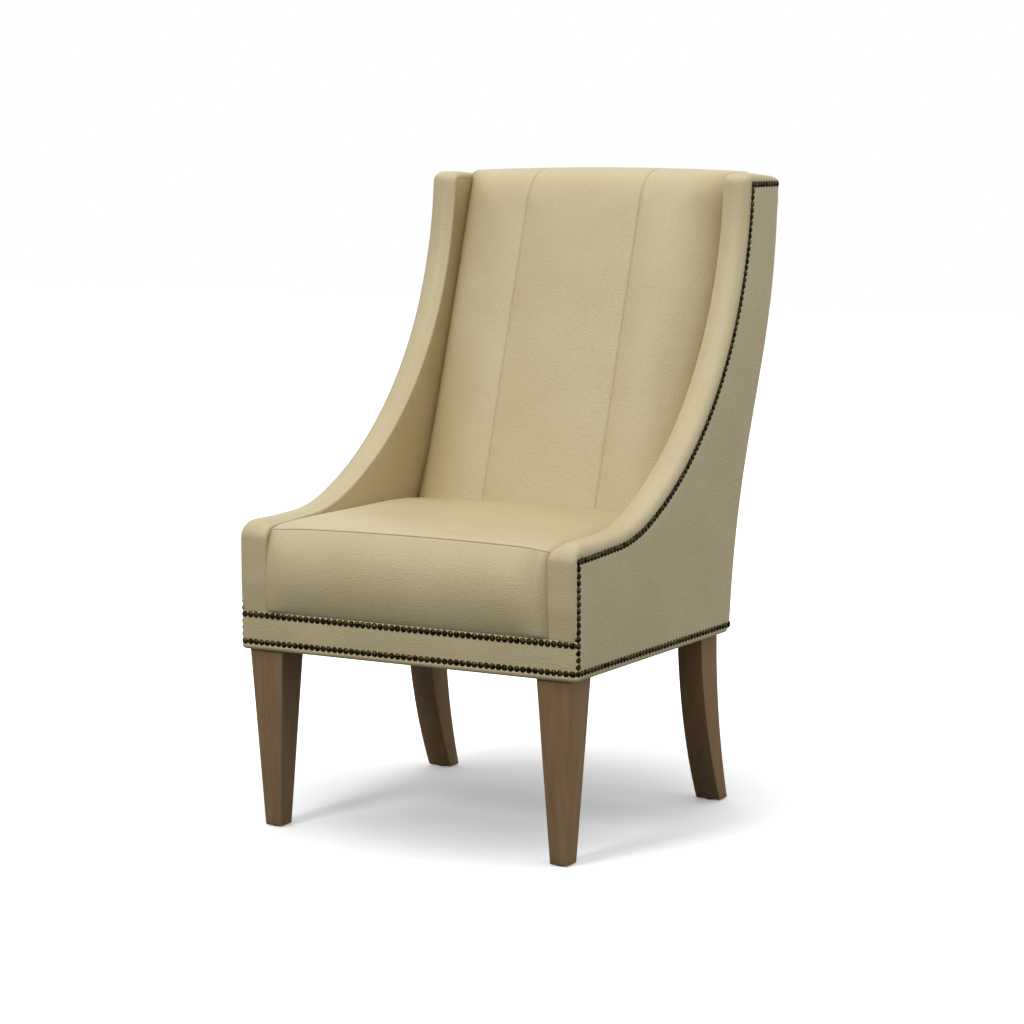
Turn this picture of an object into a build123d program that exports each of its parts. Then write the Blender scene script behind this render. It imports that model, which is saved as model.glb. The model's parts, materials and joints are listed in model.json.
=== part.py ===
from build123d import *
import math
import os

# Slope-arm dining chair: hardwood frame, foam padding, leather covers, nailhead trim.
# Millimetres and degrees. The chair faces -Y, +Z is up, the sitter's left is +X, and the
# origin is on the floor under the middle. Side views are drawn as depth behind the front
# face of the apron against height above the floor.

# Overall sizes
body_width = 635.0
apron_depth = 559.0
leg_height = 308.0
apron_height = 63.0
seat_height = 520.0
arm_height = 515.0
back_height = 1095.0

# Arm and wing outline in side view
arm_width = 48.0
arm_slope = 3.0
arm_corner = 22.0
arm_top_run = 139.0
rise_radius = 300.0
rise_angle = 22.5
wing_depth = 123.0
wing_straight = 33.0
wing_corner = 18.0
crest_round = 8.0
crest_bevel = 3.5

# S-shaped back line in side view
back_rake = 4.0
back_lean = 21.0
lower_bend = 640.0
upper_bend = 770.0
back_upright = 17.0

# Back pad
pad_setback = 119.0
pad_front_height = 515.0
pad_lean = 17.3
pad_crown = 14.0
pad_top_rise = 7.0
pad_top_round = 80.0
pad_top_flats = 3
pad_side_round = 42.0
pad_side_turn = 78.0
pad_side_lap = 0.5
panel_seam = 113.0

# Seat pad
seat_bulge = 12.0
seat_crown = 9.0
seat_side_round = 20.0
seat_corner_round = 26.0

# Legs and frame
front_leg_top = 65.0
front_leg_foot = 32.0
front_leg_side_inset = 10.0
front_leg_front_inset = 5.6
rear_leg_width = 47.0
rear_leg_side_inset = 18.5
rear_leg_top = 62.0
rear_leg_foot = 30.0
rear_leg_back_inset = 8.0
rear_leg_kick = 48.4
rear_leg_sweep = 3.0
post_taper_lean = 2.0
rail_thickness = 25.0
rail_lift = 4.0
rear_rail_setback = 12.0
back_rail_height = 60.0
lower_back_rail_lift = 60.0
block_reach = 75.0
block_height = 30.0
block_drop = 15.0
bolt_diameter = 8.0
bolt_grip = 22.0
bolt_head_width = 13.0
bolt_head_height = 5.5
bolt_head_sides = 6
glide_diameter = 22.0
glide_height = 2.0

# Covers, padding and webbing
leather = 2.0
gap = 0.3
crest_pad = 8.0
dust_cover_thickness = 1.0
dust_cover_margin = 10.0
webbing_thickness = 2.0
webbing_width = 50.0
webbing_tack = 14.0
seat_straps = 5
cross_straps = 4
back_straps = 3

# Nailhead trim
nail_head = 10.4
nail_pitch = 11.1
nail_rise = 4.0
nail_sides = 5
nail_seat = 0.05
nail_edge = 5.5
nail_column_inset = 6.0
nail_crest_inset = 18.0
lower_nail_lift = 11.5

# How far cutting shapes run past the body
reach = 200.0

# Sizes that follow from the ones above
half_width = body_width / 2
inner_half = half_width - arm_width
frame_half = half_width - leather
panel_half = half_width - rear_leg_side_inset
rear_leg_inner = panel_half - rear_leg_width
front_leg_inner = half_width - front_leg_side_inset - front_leg_top
frame_top = leg_height + apron_height
rail_bottom = leg_height + rail_lift
side_rail_inner = panel_half - rail_thickness
pad_bottom = frame_top + webbing_thickness + gap
pad_half = inner_half - gap
pad_front = apron_depth - pad_setback
post_top = back_height - back_upright
wing_end = back_height - wing_straight


def sine(angle):
    return math.sin(math.radians(angle))


def cosine(angle):
    return math.cos(math.radians(angle))


def slope(angle):
    return math.tan(math.radians(angle))


def crown_radius(half_span, rise):
    """Radius of a shallow arc from its half span and its rise."""
    return (half_span**2 + rise**2) / (2 * rise)


# Depth at the top of the back, and the Y of the apron's face that centres the chair
back_top = (
    apron_depth
    + (lower_bend - leg_height) * slope((back_lean + back_rake) / 2)
    + (upper_bend - lower_bend) * slope(back_lean)
    + (post_top - upper_bend) * slope(back_lean / 2)
)
wing_front = back_top - wing_depth
front_y = -(back_top + nail_rise - seat_bulge) / 2

# The wing's sweep: one arc from the end of the arm's rise to the wing's front edge
rise_end = Vector(
    arm_top_run + rise_radius * (sine(rise_angle) - sine(arm_slope)),
    arm_height
    + arm_top_run * slope(arm_slope)
    + rise_radius * (cosine(arm_slope) - cosine(rise_angle)),
)
sweep_chord = Vector(wing_front, wing_end) - rise_end
sweep_turn = 2 * (math.degrees(math.atan2(sweep_chord.Y, sweep_chord.X)) - rise_angle)
sweep_radius = sweep_chord.length / (2 * sine(sweep_turn / 2))


def side_plane(x):
    """Side view plane: sketch X is depth behind the apron's face, sketch Y is height."""
    return Plane(origin=(x, front_y, 0), x_dir=(0, 1, 0), z_dir=(1, 0, 0))


def plan_plane(z):
    """Plan view plane at a height: sketch Y is depth behind the apron's face."""
    return Plane(origin=(0, front_y, z))


def front_plane(depth):
    """Front view plane at a depth: sketch Y is height, and the normal faces forward."""
    return Plane(origin=(0, front_y + depth, 0), x_dir=(1, 0, 0), z_dir=(0, -1, 0))


def back_line(shift, lean=back_lean, top=back_height):
    """S-shaped back line, moved in depth: an arc, a straight run and an upright arc."""
    rise = upper_bend - lower_bend
    with BuildLine() as line:
        lower = JernArc(
            start=(apron_depth + shift, leg_height),
            tangent=(sine(back_rake), cosine(back_rake)),
            radius=(lower_bend - leg_height) / (sine(lean) - sine(back_rake)),
            arc_size=back_rake - lean,
        )
        straight = Line(lower @ 1, lower @ 1 + Vector(rise * slope(lean), rise))
        upper = JernArc(
            start=straight @ 1,
            tangent=straight % 1,
            radius=(post_top - upper_bend) / sine(lean),
            arc_size=lean,
        )
        if top > post_top:
            Line(upper @ 1, Vector((upper @ 1).X, top))
    return line.line


def post_front_line(shift):
    """Front edge of the back posts, which thin towards the top."""
    return back_line(
        -rear_leg_back_inset - rear_leg_top + shift, back_lean + post_taper_lean, post_top
    )


def crest_line(inset, start_depth):
    """Crest of arm and wing, moved inwards: sloping top, rise, sweep and wing edge."""
    start_height = arm_height + start_depth * slope(arm_slope) - inset / cosine(arm_slope)
    rise_start = Vector(arm_top_run, arm_height + arm_top_run * slope(arm_slope))
    rise_start += inset * Vector(sine(arm_slope), -cosine(arm_slope))
    with BuildLine() as line:
        level = Line((start_depth, start_height), rise_start)
        rise = JernArc(level @ 1, level % 1, rise_radius + inset, rise_angle - arm_slope)
        sweep = JernArc(rise @ 1, rise % 1, sweep_radius + inset, sweep_turn)
        edge_run = (back_height - inset - (sweep @ 1).Y) / (sweep % 1).Y
        Line(sweep @ 1, sweep @ 1 + edge_run * (sweep % 1))
    return line.line


def crest_zone(inset):
    """Side view area under the crest line, open to the rear and the floor."""
    crest = crest_line(inset, inset)
    with BuildSketch() as zone:
        with BuildLine():
            add(crest)
            Polyline(
                crest @ 1,
                (back_top + reach, back_height - inset),
                (back_top + reach, 0),
                (inset, 0),
                crest @ 0,
            )
        make_face()
        fillet(zone.vertices().sort_by_distance(crest @ 0)[0], arm_corner - inset)
        fillet(zone.vertices().sort_by_distance(crest @ 1)[0], wing_corner - inset)
    return zone.sketch


def body_zone(shift):
    """Side view area in front of a back line."""
    line = back_line(shift, top=back_height + reach)
    with BuildSketch() as zone:
        with BuildLine():
            add(line)
            Polyline(
                line @ 1,
                (-reach, back_height + reach),
                (-reach, leg_height),
                line @ 0,
            )
        make_face()
    return zone.sketch


def height_zone(bottom, top):
    """Side view area between two heights."""
    with BuildSketch() as zone:
        with Locations((-reach, bottom)):
            Rectangle(back_top + 2 * reach, top - bottom, align=(Align.MIN, Align.MIN))
    return zone.sketch


def post_outline():
    """Side view of a rear leg and back post: sabre leg below, S-shaped post above."""
    rear = back_line(-rear_leg_back_inset, top=post_top)
    front = post_front_line(0)
    foot_rear = Vector((rear @ 0).X + rear_leg_kick, glide_height)
    foot_front = foot_rear - Vector(rear_leg_foot, 0)
    sweep = (sine(rear_leg_sweep), -cosine(rear_leg_sweep))
    with BuildSketch() as outline:
        with BuildLine():
            add(rear)
            Line(rear @ 1, front @ 1)
            add(front)
            TangentArc(front @ 0, foot_front, tangent=sweep)
            Line(foot_front, foot_rear)
            TangentArc(rear @ 0, foot_rear, tangent=(0, -1))
        make_face()
    return outline.sketch


def post_zone(clearance):
    """Side view area of the back posts and all behind them, grown forwards."""
    front = post_front_line(-clearance)
    top = post_top + gap
    with BuildSketch() as zone:
        with BuildLine():
            add(front)
            Polyline(
                front @ 1,
                ((front @ 1).X, top),
                (back_top + reach, top),
                (back_top + reach, leg_height),
                front @ 0,
            )
        make_face()
    return zone.sketch


def flipped(piece):
    """The same piece on the other side of the chair."""
    with BuildPart() as other:
        mirror(piece, about=Plane.YZ)
    return other.part


# Frame places in plan
front_leg_x = front_leg_inner + front_leg_top / 2
front_leg_depth = front_leg_front_inset + front_leg_top / 2
rear_leg_x = rear_leg_inner + rear_leg_width / 2
rear_foot_depth = apron_depth - rear_leg_back_inset + rear_leg_kick - rear_leg_foot / 2
front_post_back = front_leg_front_inset + front_leg_top
front_rail_back = front_leg_front_inset + rail_thickness
rear_rail_back = apron_depth - rear_leg_back_inset - rear_rail_setback
rear_rail_front = rear_rail_back - rail_thickness
rear_post_front = apron_depth - rear_leg_back_inset - rear_leg_top
block_top = frame_top - block_drop

# Corner blocks in plan, each notched round its post
front_block = [
    (front_leg_inner - block_reach, front_rail_back),
    (front_leg_inner, front_rail_back),
    (front_leg_inner, front_post_back),
    (side_rail_inner, front_post_back),
    (side_rail_inner, front_post_back + block_reach),
]
rear_block = [
    (rear_leg_inner - block_reach, rear_rail_front),
    (rear_leg_inner, rear_rail_front),
    (rear_leg_inner, rear_post_front),
    (side_rail_inner, rear_post_front),
    (side_rail_inner, rear_post_front - block_reach),
]


def bolt(block):
    """Bolt through the long face of a corner block into the post, with its head outside."""
    start, post, end = Vector(*block[0]), Vector(*block[2]), Vector(*block[4])
    middle = (start + end) * 0.5
    along = (end - start).normalized()
    inwards = Vector(-along.Y, along.X)
    if inwards.dot(post - middle) < 0:
        inwards = -inwards
    depth = inwards.dot(post - middle) + bolt_grip
    face = Plane(
        origin=(middle.X, middle.Y + front_y, block_top - block_height / 2),
        x_dir=(0, 0, 1),
        z_dir=inwards,
    )
    with BuildPart() as part:
        with BuildSketch(face):
            Circle(bolt_diameter / 2)
        extrude(amount=depth)
        with BuildSketch(face.offset(-bolt_head_height)):
            RegularPolygon(bolt_head_width / 2, bolt_head_sides, major_radius=False)
        extrude(amount=bolt_head_height)
    return part.part


front_bolt = bolt(front_block)
rear_bolt = bolt(rear_block)

with BuildPart() as leg_bolts:
    for piece in (front_bolt, rear_bolt):
        add(piece)
        mirror(piece, about=Plane.YZ)

# Rear legs, each one piece with its back post
with BuildPart() as rear_leg_left:
    with BuildSketch(side_plane(rear_leg_inner)):
        add(post_outline())
    extrude(amount=rear_leg_width)
    add(rear_bolt, mode=Mode.SUBTRACT)


def taper_outline(middle):
    """A front leg seen from the front or the side: a straight taper to the foot."""
    with BuildSketch() as outline:
        with BuildLine():
            Polyline(
                (middle - front_leg_foot / 2, glide_height),
                (middle + front_leg_foot / 2, glide_height),
                (middle + front_leg_top / 2, leg_height),
                (middle - front_leg_top / 2, leg_height),
                close=True,
            )
        make_face()
    return outline.sketch


# Front legs: tapered on all four faces, with a shouldered post inside the apron
with BuildPart() as front_leg_left:
    with BuildSketch(front_plane(front_post_back)):
        add(taper_outline(front_leg_x))
    extrude(amount=front_post_back)
    with BuildSketch(side_plane(front_leg_inner)):
        add(taper_outline(front_leg_depth))
    extrude(amount=front_leg_top, mode=Mode.INTERSECT)
    with BuildSketch(plan_plane(leg_height)):
        with Locations((front_leg_inner, front_leg_front_inset)):
            Rectangle(
                panel_half - front_leg_inner, front_leg_top, align=(Align.MIN, Align.MIN)
            )
    extrude(amount=apron_height)
    add(front_bolt, mode=Mode.SUBTRACT)

# Glides under the feet
with BuildPart() as foot_glides:
    with BuildSketch(plan_plane(0)):
        with Locations(
            (front_leg_x, front_leg_depth),
            (-front_leg_x, front_leg_depth),
            (rear_leg_x, rear_foot_depth),
            (-rear_leg_x, rear_foot_depth),
        ):
            Circle(glide_diameter / 2)
    extrude(amount=glide_height)

# Seat rails and corner blocks
with BuildPart() as front_rail:
    with BuildSketch(plan_plane(rail_bottom)):
        with Locations((0, front_leg_front_inset)):
            Rectangle(2 * front_leg_inner, rail_thickness, align=(Align.CENTER, Align.MIN))
    extrude(amount=frame_top - rail_bottom)

with BuildPart() as rear_rail:
    with BuildSketch(plan_plane(rail_bottom)):
        with Locations((0, rear_rail_front)):
            Rectangle(2 * rear_leg_inner, rail_thickness, align=(Align.CENTER, Align.MIN))
    extrude(amount=frame_top - rail_bottom)

with BuildPart() as side_rail_left:
    with BuildSketch(plan_plane(rail_bottom)):
        with Locations((side_rail_inner, front_post_back)):
            Rectangle(
                rail_thickness, apron_depth - front_post_back, align=(Align.MIN, Align.MIN)
            )
    extrude(amount=frame_top - rail_bottom)
    with BuildSketch(side_plane(side_rail_inner)):
        add(post_zone(0))
    extrude(amount=rail_thickness, mode=Mode.SUBTRACT)

with BuildPart() as corner_blocks:
    with BuildSketch(plan_plane(block_top - block_height)):
        for corners in (front_block, rear_block):
            with BuildLine():
                Polyline(*corners, close=True)
            make_face()
        mirror(about=Plane.YZ)
    extrude(amount=block_height)
    add(leg_bolts.part, mode=Mode.SUBTRACT)


def back_rail(bottom):
    """Rail between the back posts, sawn to their curve."""
    with BuildPart() as rail:
        with BuildSketch(side_plane(-rear_leg_inner)):
            add(post_outline())
            add(height_zone(bottom, bottom + back_rail_height), mode=Mode.INTERSECT)
        extrude(amount=2 * rear_leg_inner)
    return rail.part


top_rail_bottom = post_top - back_rail_height
lower_back_rail_bottom = frame_top + lower_back_rail_lift
top_rail = back_rail(top_rail_bottom)
lower_back_rail = back_rail(lower_back_rail_bottom)

# Arm panels, cut to the arm and wing outline
with BuildPart() as arm_panel_left:
    with BuildSketch(side_plane(panel_half)):
        add(crest_zone(leather + crest_pad))
        add(body_zone(-leather), mode=Mode.INTERSECT)
        add(height_zone(rail_bottom, back_height), mode=Mode.INTERSECT)
    extrude(amount=frame_half - panel_half)


def spread(count, half_span, width):
    """Centres of straps spread evenly between two edges."""
    edge = half_span - width / 2
    return [edge * (2 * i / (count - 1) - 1) for i in range(count)]


# Webbing tacked to the tops of the seat rails
strap_start = front_rail_back - webbing_tack
strap_end = rear_rail_front + webbing_tack
cross_middle = (front_post_back + rear_post_front) / 2
cross_half = (rear_post_front - front_post_back) / 2

with BuildPart() as seat_webbing:
    with BuildSketch(plan_plane(frame_top)):
        for x in spread(seat_straps, front_leg_inner, webbing_width):
            with Locations((x, strap_start)):
                Rectangle(
                    webbing_width, strap_end - strap_start, align=(Align.CENTER, Align.MIN)
                )
        for depth in spread(cross_straps, cross_half, webbing_width):
            with Locations((0, cross_middle + depth)):
                Rectangle(2 * (side_rail_inner + webbing_tack), webbing_width)
    extrude(amount=webbing_thickness)

# Webbing tacked to the fronts of the back rails
with BuildPart() as back_webbing:
    for x in spread(back_straps, rear_leg_inner, webbing_width):
        with BuildSketch(side_plane(x - webbing_width / 2)):
            add(post_zone(webbing_thickness))
            add(post_zone(0), mode=Mode.SUBTRACT)
            add(height_zone(lower_back_rail_bottom, post_top), mode=Mode.INTERSECT)
        extrude(amount=webbing_width)


def arm_form(inset):
    """Arm and wing: the side outline carried across the arm.

    The outer crest edge is rounded on the cover's face and bevelled on the layers inside.
    """
    with BuildPart() as form:
        with BuildSketch(side_plane(inner_half + inset)):
            add(crest_zone(inset))
            add(body_zone(-leather), mode=Mode.INTERSECT)
            add(height_zone(pad_bottom, back_height), mode=Mode.INTERSECT)
        extrude(amount=arm_width - 2 * inset)
        arcs = form.edges().group_by(Axis.X)[-1].filter_by(GeomType.CIRCLE)
        crest = arcs.sort_by(SortBy.LENGTH)[-1]
        if inset > 0:
            chamfer(crest, crest_bevel)
        else:
            fillet(crest, crest_round)
    return form.part


# Arm pads: foam inside the panels and over their edges
with BuildPart() as arm_pad_left:
    add(arm_form(leather + gap))
    with BuildSketch(side_plane(panel_half)):
        add(crest_zone(leather + crest_pad - gap))
    extrude(amount=rear_leg_side_inset, mode=Mode.SUBTRACT)
    with BuildSketch(side_plane(inner_half)):
        add(post_zone(gap))
    extrude(amount=panel_half - inner_half, mode=Mode.SUBTRACT)

# Arm covers: inside arm, band over the crest and a lip under the side nails
with BuildPart() as arm_cover_left:
    add(arm_form(0))
    add(arm_form(leather), mode=Mode.SUBTRACT)
    with BuildSketch(side_plane(frame_half)):
        add(crest_zone(crest_round))
    extrude(amount=leather, mode=Mode.SUBTRACT)
    with BuildSketch(side_plane(inner_half)):
        add(post_zone(gap))
    extrude(amount=panel_half - inner_half, mode=Mode.SUBTRACT)

# Outer sides: flat leather panels inside the line of nails
with BuildPart() as outer_side_left:
    with BuildSketch(side_plane(frame_half)):
        add(crest_zone(crest_round))
        with Locations((0, leg_height)):
            Rectangle(2 * crest_round, pad_bottom - gap - leg_height, align=(Align.MIN, Align.MIN))
        add(body_zone(0), mode=Mode.INTERSECT)
        add(height_zone(leg_height, back_height), mode=Mode.INTERSECT)
    extrude(amount=leather)

# Outer back, crowned along its top edge, over thin padding on the posts
with BuildPart() as outer_back:
    with BuildSketch(side_plane(-frame_half)):
        add(body_zone(0))
        add(body_zone(-leather), mode=Mode.SUBTRACT)
    extrude(amount=2 * frame_half)
    with BuildSketch(front_plane(back_top + reach)):
        with BuildLine():
            Polyline(
                (-inner_half, back_height),
                (-half_width, back_height),
                (-half_width, 0),
                (half_width, 0),
                (half_width, back_height),
                (inner_half, back_height),
            )
            ThreePointArc(
                (inner_half, back_height),
                (0, back_height + pad_top_rise),
                (-inner_half, back_height),
            )
        make_face()
    extrude(amount=back_top + 2 * reach, mode=Mode.INTERSECT)

with BuildPart() as outer_back_padding:
    with BuildSketch(side_plane(-panel_half)):
        add(body_zone(-leather - gap))
        add(body_zone(-rear_leg_back_inset + gap), mode=Mode.SUBTRACT)
        add(height_zone(leg_height, post_top), mode=Mode.INTERSECT)
    extrude(amount=2 * panel_half)


def back_pad(inset):
    """Inside back: crowned front that rolls over the top, with rounded sides.

    The side view is turned about an axis that leans with the pad, far behind it. A
    prism along the same lean rounds the sides, and the posts limit the rear. The layers
    under the cover's face roll over the top in a few flats.
    """
    radius = crown_radius(inner_half, pad_crown)
    top = back_height + pad_top_rise - inset
    front = Vector(0, front_y + pad_front, pad_front_height)
    lean = Vector(0, sine(pad_lean), cosine(pad_lean))
    behind = Vector(0, cosine(pad_lean), -sine(pad_lean))

    def front_at(height):
        run = inset / cosine(pad_lean) + (height - pad_front_height) * slope(pad_lean)
        return pad_front + run

    roll_radius = pad_top_round - inset
    roll_turn = 90 - pad_lean
    roll_start_height = top - roll_radius * slope(roll_turn / 2) * cosine(pad_lean)

    half_turn = math.degrees(math.asin(half_width / radius))
    side = pad_half - inset
    round_radius = pad_side_round - inset
    corner_end = side - round_radius * (1 - cosine(pad_side_turn))
    corner_end_depth = radius - math.sqrt((radius - inset) ** 2 - corner_end**2) - pad_side_lap
    corner_start_depth = corner_end_depth + round_radius * sine(pad_side_turn)
    ridge_depth = corner_end_depth - corner_end / slope(pad_side_turn)

    with BuildPart() as pad:
        with BuildSketch(side_plane(0)):
            with BuildLine():
                roll = JernArc(
                    start=(front_at(roll_start_height), roll_start_height),
                    tangent=(sine(pad_lean), cosine(pad_lean)),
                    radius=roll_radius,
                    arc_size=-roll_turn,
                    mode=Mode.PRIVATE,
                )
                if inset > 0:
                    Polyline(*[roll @ (i / pad_top_flats) for i in range(pad_top_flats + 1)])
                else:
                    add(roll)
                Polyline(
                    roll @ 1,
                    (back_top + reach, top),
                    (back_top + reach, leg_height),
                    (front_at(leg_height), leg_height),
                    roll @ 0,
                )
            make_face()
        revolve(axis=Axis(front + behind * radius, lean), revolution_arc=half_turn)
        mirror(about=Plane.YZ)
        with BuildSketch(Plane(origin=front, x_dir=(1, 0, 0), z_dir=lean)):
            with BuildLine():
                Line((0, ridge_depth), (corner_end, corner_end_depth))
                corner_arc = TangentArc(
                    (side, corner_start_depth),
                    (corner_end, corner_end_depth),
                    tangent=(0, -1),
                )
                Polyline(corner_arc @ 0, (side, 2 * reach), (0, 2 * reach))
                mirror(about=Plane.YZ)
            make_face()
        extrude(amount=back_height, both=True, mode=Mode.INTERSECT)
        with BuildSketch(side_plane(-half_width)):
            add(body_zone(-leather))
            add(height_zone(pad_bottom, back_height + reach), mode=Mode.INTERSECT)
            add(post_zone(webbing_thickness + gap), mode=Mode.SUBTRACT)
        extrude(amount=body_width, mode=Mode.INTERSECT)
    return pad.part


back_foam = back_pad(leather + gap)

with BuildPart() as back_skin:
    add(back_pad(0))
    add(back_pad(leather), mode=Mode.SUBTRACT)


def skin_panel(left, right):
    """One sewn panel of the inside back's leather, between two seams."""
    with BuildPart() as panel:
        add(back_skin.part)
        with BuildSketch(plan_plane(0)):
            with Locations((left, -reach)):
                Rectangle(right - left, back_top + 2 * reach, align=(Align.MIN, Align.MIN))
        extrude(amount=back_height + reach, mode=Mode.INTERSECT)
    return panel.part


inside_back_centre = skin_panel(-panel_seam, panel_seam)
inside_back_left = skin_panel(panel_seam, half_width)
inside_back_right = skin_panel(-half_width, -panel_seam)


def seat_pad(inset, bottom):
    """Seat: bulging front border, top crowned across the width, drawn-in front corners."""
    seam_height = seat_height - seat_crown / 2
    half_border = (seam_height - frame_top) / 2
    bulge_radius = crown_radius(half_border, seat_bulge) - inset
    bulge_middle = frame_top + half_border
    bulge_front = inset - seat_bulge
    side = pad_half - inset
    corner_radius = seat_corner_round - inset
    plan_front = bulge_front - gap
    crown_edge = seat_height - inset - seat_crown

    def rear_at(height):
        return pad_front + pad_side_round + (height - pad_front_height) * slope(pad_lean)

    with BuildPart() as pad:
        with BuildSketch(side_plane(-side)):
            with Locations((bulge_front + bulge_radius, bulge_middle)):
                Circle(bulge_radius)
            with Locations((bulge_front + bulge_radius, bulge_middle)):
                Rectangle(
                    apron_depth, 2 * bulge_radius, align=(Align.MIN, Align.CENTER)
                )
            add(height_zone(bottom, seat_height + reach), mode=Mode.INTERSECT)
            with BuildLine():
                Polyline(
                    (-reach, leg_height),
                    (rear_at(leg_height), leg_height),
                    (rear_at(seat_height + reach), seat_height + reach),
                    (-reach, seat_height + reach),
                    close=True,
                )
            make_face(mode=Mode.INTERSECT)
        extrude(amount=2 * side)
        with BuildSketch(plan_plane(bottom)):
            with BuildLine():
                front = Line((0, plan_front), (side - corner_radius, plan_front))
                corner = TangentArc(front @ 1, (side, plan_front + corner_radius), tangent=(1, 0))
                Polyline(corner @ 1, (side, apron_depth), (0, apron_depth))
                mirror(about=Plane.YZ)
            make_face()
        extrude(amount=seat_height, mode=Mode.INTERSECT)
        with BuildSketch(front_plane(apron_depth)) as front_view:
            with BuildLine():
                Polyline((-side, crown_edge), (-side, bottom), (side, bottom), (side, crown_edge))
                ThreePointArc((side, crown_edge), (0, seat_height - inset), (-side, crown_edge))
            make_face()
            fillet(front_view.vertices().group_by(Axis.Y)[-1], seat_side_round - inset)
        extrude(amount=apron_depth + reach, mode=Mode.INTERSECT)
        add(back_pad(-gap), mode=Mode.SUBTRACT)
    return pad.part


seat_foam = seat_pad(leather + gap, pad_bottom)

with BuildPart() as seat_cover:
    add(seat_pad(0, pad_bottom))
    add(seat_pad(leather, pad_bottom), mode=Mode.SUBTRACT)

# Apron: leather band over thin padding across the front
with BuildPart() as apron_band:
    with BuildSketch(front_plane(leather)):
        with Locations((0, leg_height)):
            Rectangle(2 * frame_half, pad_bottom - gap - leg_height, align=(Align.CENTER, Align.MIN))
    extrude(amount=leather)

with BuildPart() as apron_padding:
    with BuildSketch(front_plane(front_leg_front_inset)):
        with Locations((0, rail_bottom)):
            Rectangle(2 * frame_half, frame_top - rail_bottom, align=(Align.CENTER, Align.MIN))
    extrude(amount=front_leg_front_inset - leather)

# Dust cover under the rails, notched round the legs
with BuildPart() as dust_cover:
    dust_front = front_leg_front_inset + dust_cover_margin
    with BuildSketch(plan_plane(rail_bottom - dust_cover_thickness)):
        with Locations((0, dust_front)):
            Rectangle(
                2 * (panel_half - dust_cover_margin),
                rear_rail_back - dust_front,
                align=(Align.CENTER, Align.MIN),
            )
    extrude(amount=dust_cover_thickness)
    for leg in (front_leg_left.part, rear_leg_left.part):
        add(leg, mode=Mode.SUBTRACT)
        mirror(leg, about=Plane.YZ, mode=Mode.SUBTRACT)


def nail_spots(run):
    """Places of the nails along a line, evenly spaced from end to end."""
    wire = Wire(run.edges())
    spaces = max(1, round(wire.length / nail_pitch))
    return [wire @ (i / spaces) for i in range(spaces + 1)]


# One nail head: a low dome cut in flat sides that meet in a point
nail_point = Vector(0, 0, nail_rise)
with BuildPart() as nail:
    with BuildSketch() as nail_base:
        RegularPolygon(nail_head / 2, nail_sides)
    extrude(amount=nail_rise)
    for side in nail_base.edges():
        facing = (side % 0).cross(nail_point - side @ 0)
        split(bisect_by=Plane(side @ 0, side % 0, facing), keep=Keep.BOTTOM)


def nails(plane, spots):
    """Nail heads on a plane, one at each spot."""
    with BuildPart(plane) as heads:
        with Locations(*spots):
            add(nail.part)
    return heads.part


lower_row = leg_height + lower_nail_lift
upper_row = frame_top - nail_edge
row_half = half_width - nail_edge

front_row_spots = []
for height in (lower_row, upper_row):
    with BuildLine() as row:
        Line((-row_half, height), (row_half, height))
    front_row_spots += nail_spots(row.line)
front_nails = nails(front_plane(0), front_row_spots)

# Side nails: up the front, along the crest, back along the top and along the bottom
crest_run = crest_line(nail_crest_inset, nail_column_inset)
with BuildLine() as column_run:
    Line((nail_column_inset, lower_row), crest_run @ 0)
with BuildLine() as top_run:
    Line(crest_run @ 1, (back_top - nail_edge, back_height - nail_crest_inset))
with BuildLine() as bottom_run:
    Line((nail_column_inset, lower_row), (apron_depth - nail_edge, lower_row))
side_spots = nail_spots(column_run.line)
for run in (crest_run, top_run.line, bottom_run.line):
    side_spots += nail_spots(run)[1:]
side_nails_left = nails(side_plane(half_width), side_spots)

# Back nails: one row along the bottom, square to the back line there, and one along the top
lower_back_arc = back_line(0).edges().sort_by(Axis.Y)[0]
lower_back_spot = lower_nail_lift / lower_back_arc.length
lower_back_point = lower_back_arc @ lower_back_spot
lower_back_lean = lower_back_arc % lower_back_spot
lower_back_face = Plane(
    origin=(0, front_y + lower_back_point.X, lower_back_point.Y),
    x_dir=(-1, 0, 0),
    z_dir=(0, lower_back_lean.Y, -lower_back_lean.X),
)
upper_back_face = Plane(
    origin=(0, front_y + back_top, back_height - nail_crest_inset),
    x_dir=(-1, 0, 0),
    z_dir=(0, 1, 0),
)
with BuildLine() as back_row:
    Line((-row_half, 0), (row_half, 0))
with BuildPart() as back_nails:
    add(nails(lower_back_face.offset(nail_seat), nail_spots(back_row.line)))
    add(nails(upper_back_face, nail_spots(back_row.line)))

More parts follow.
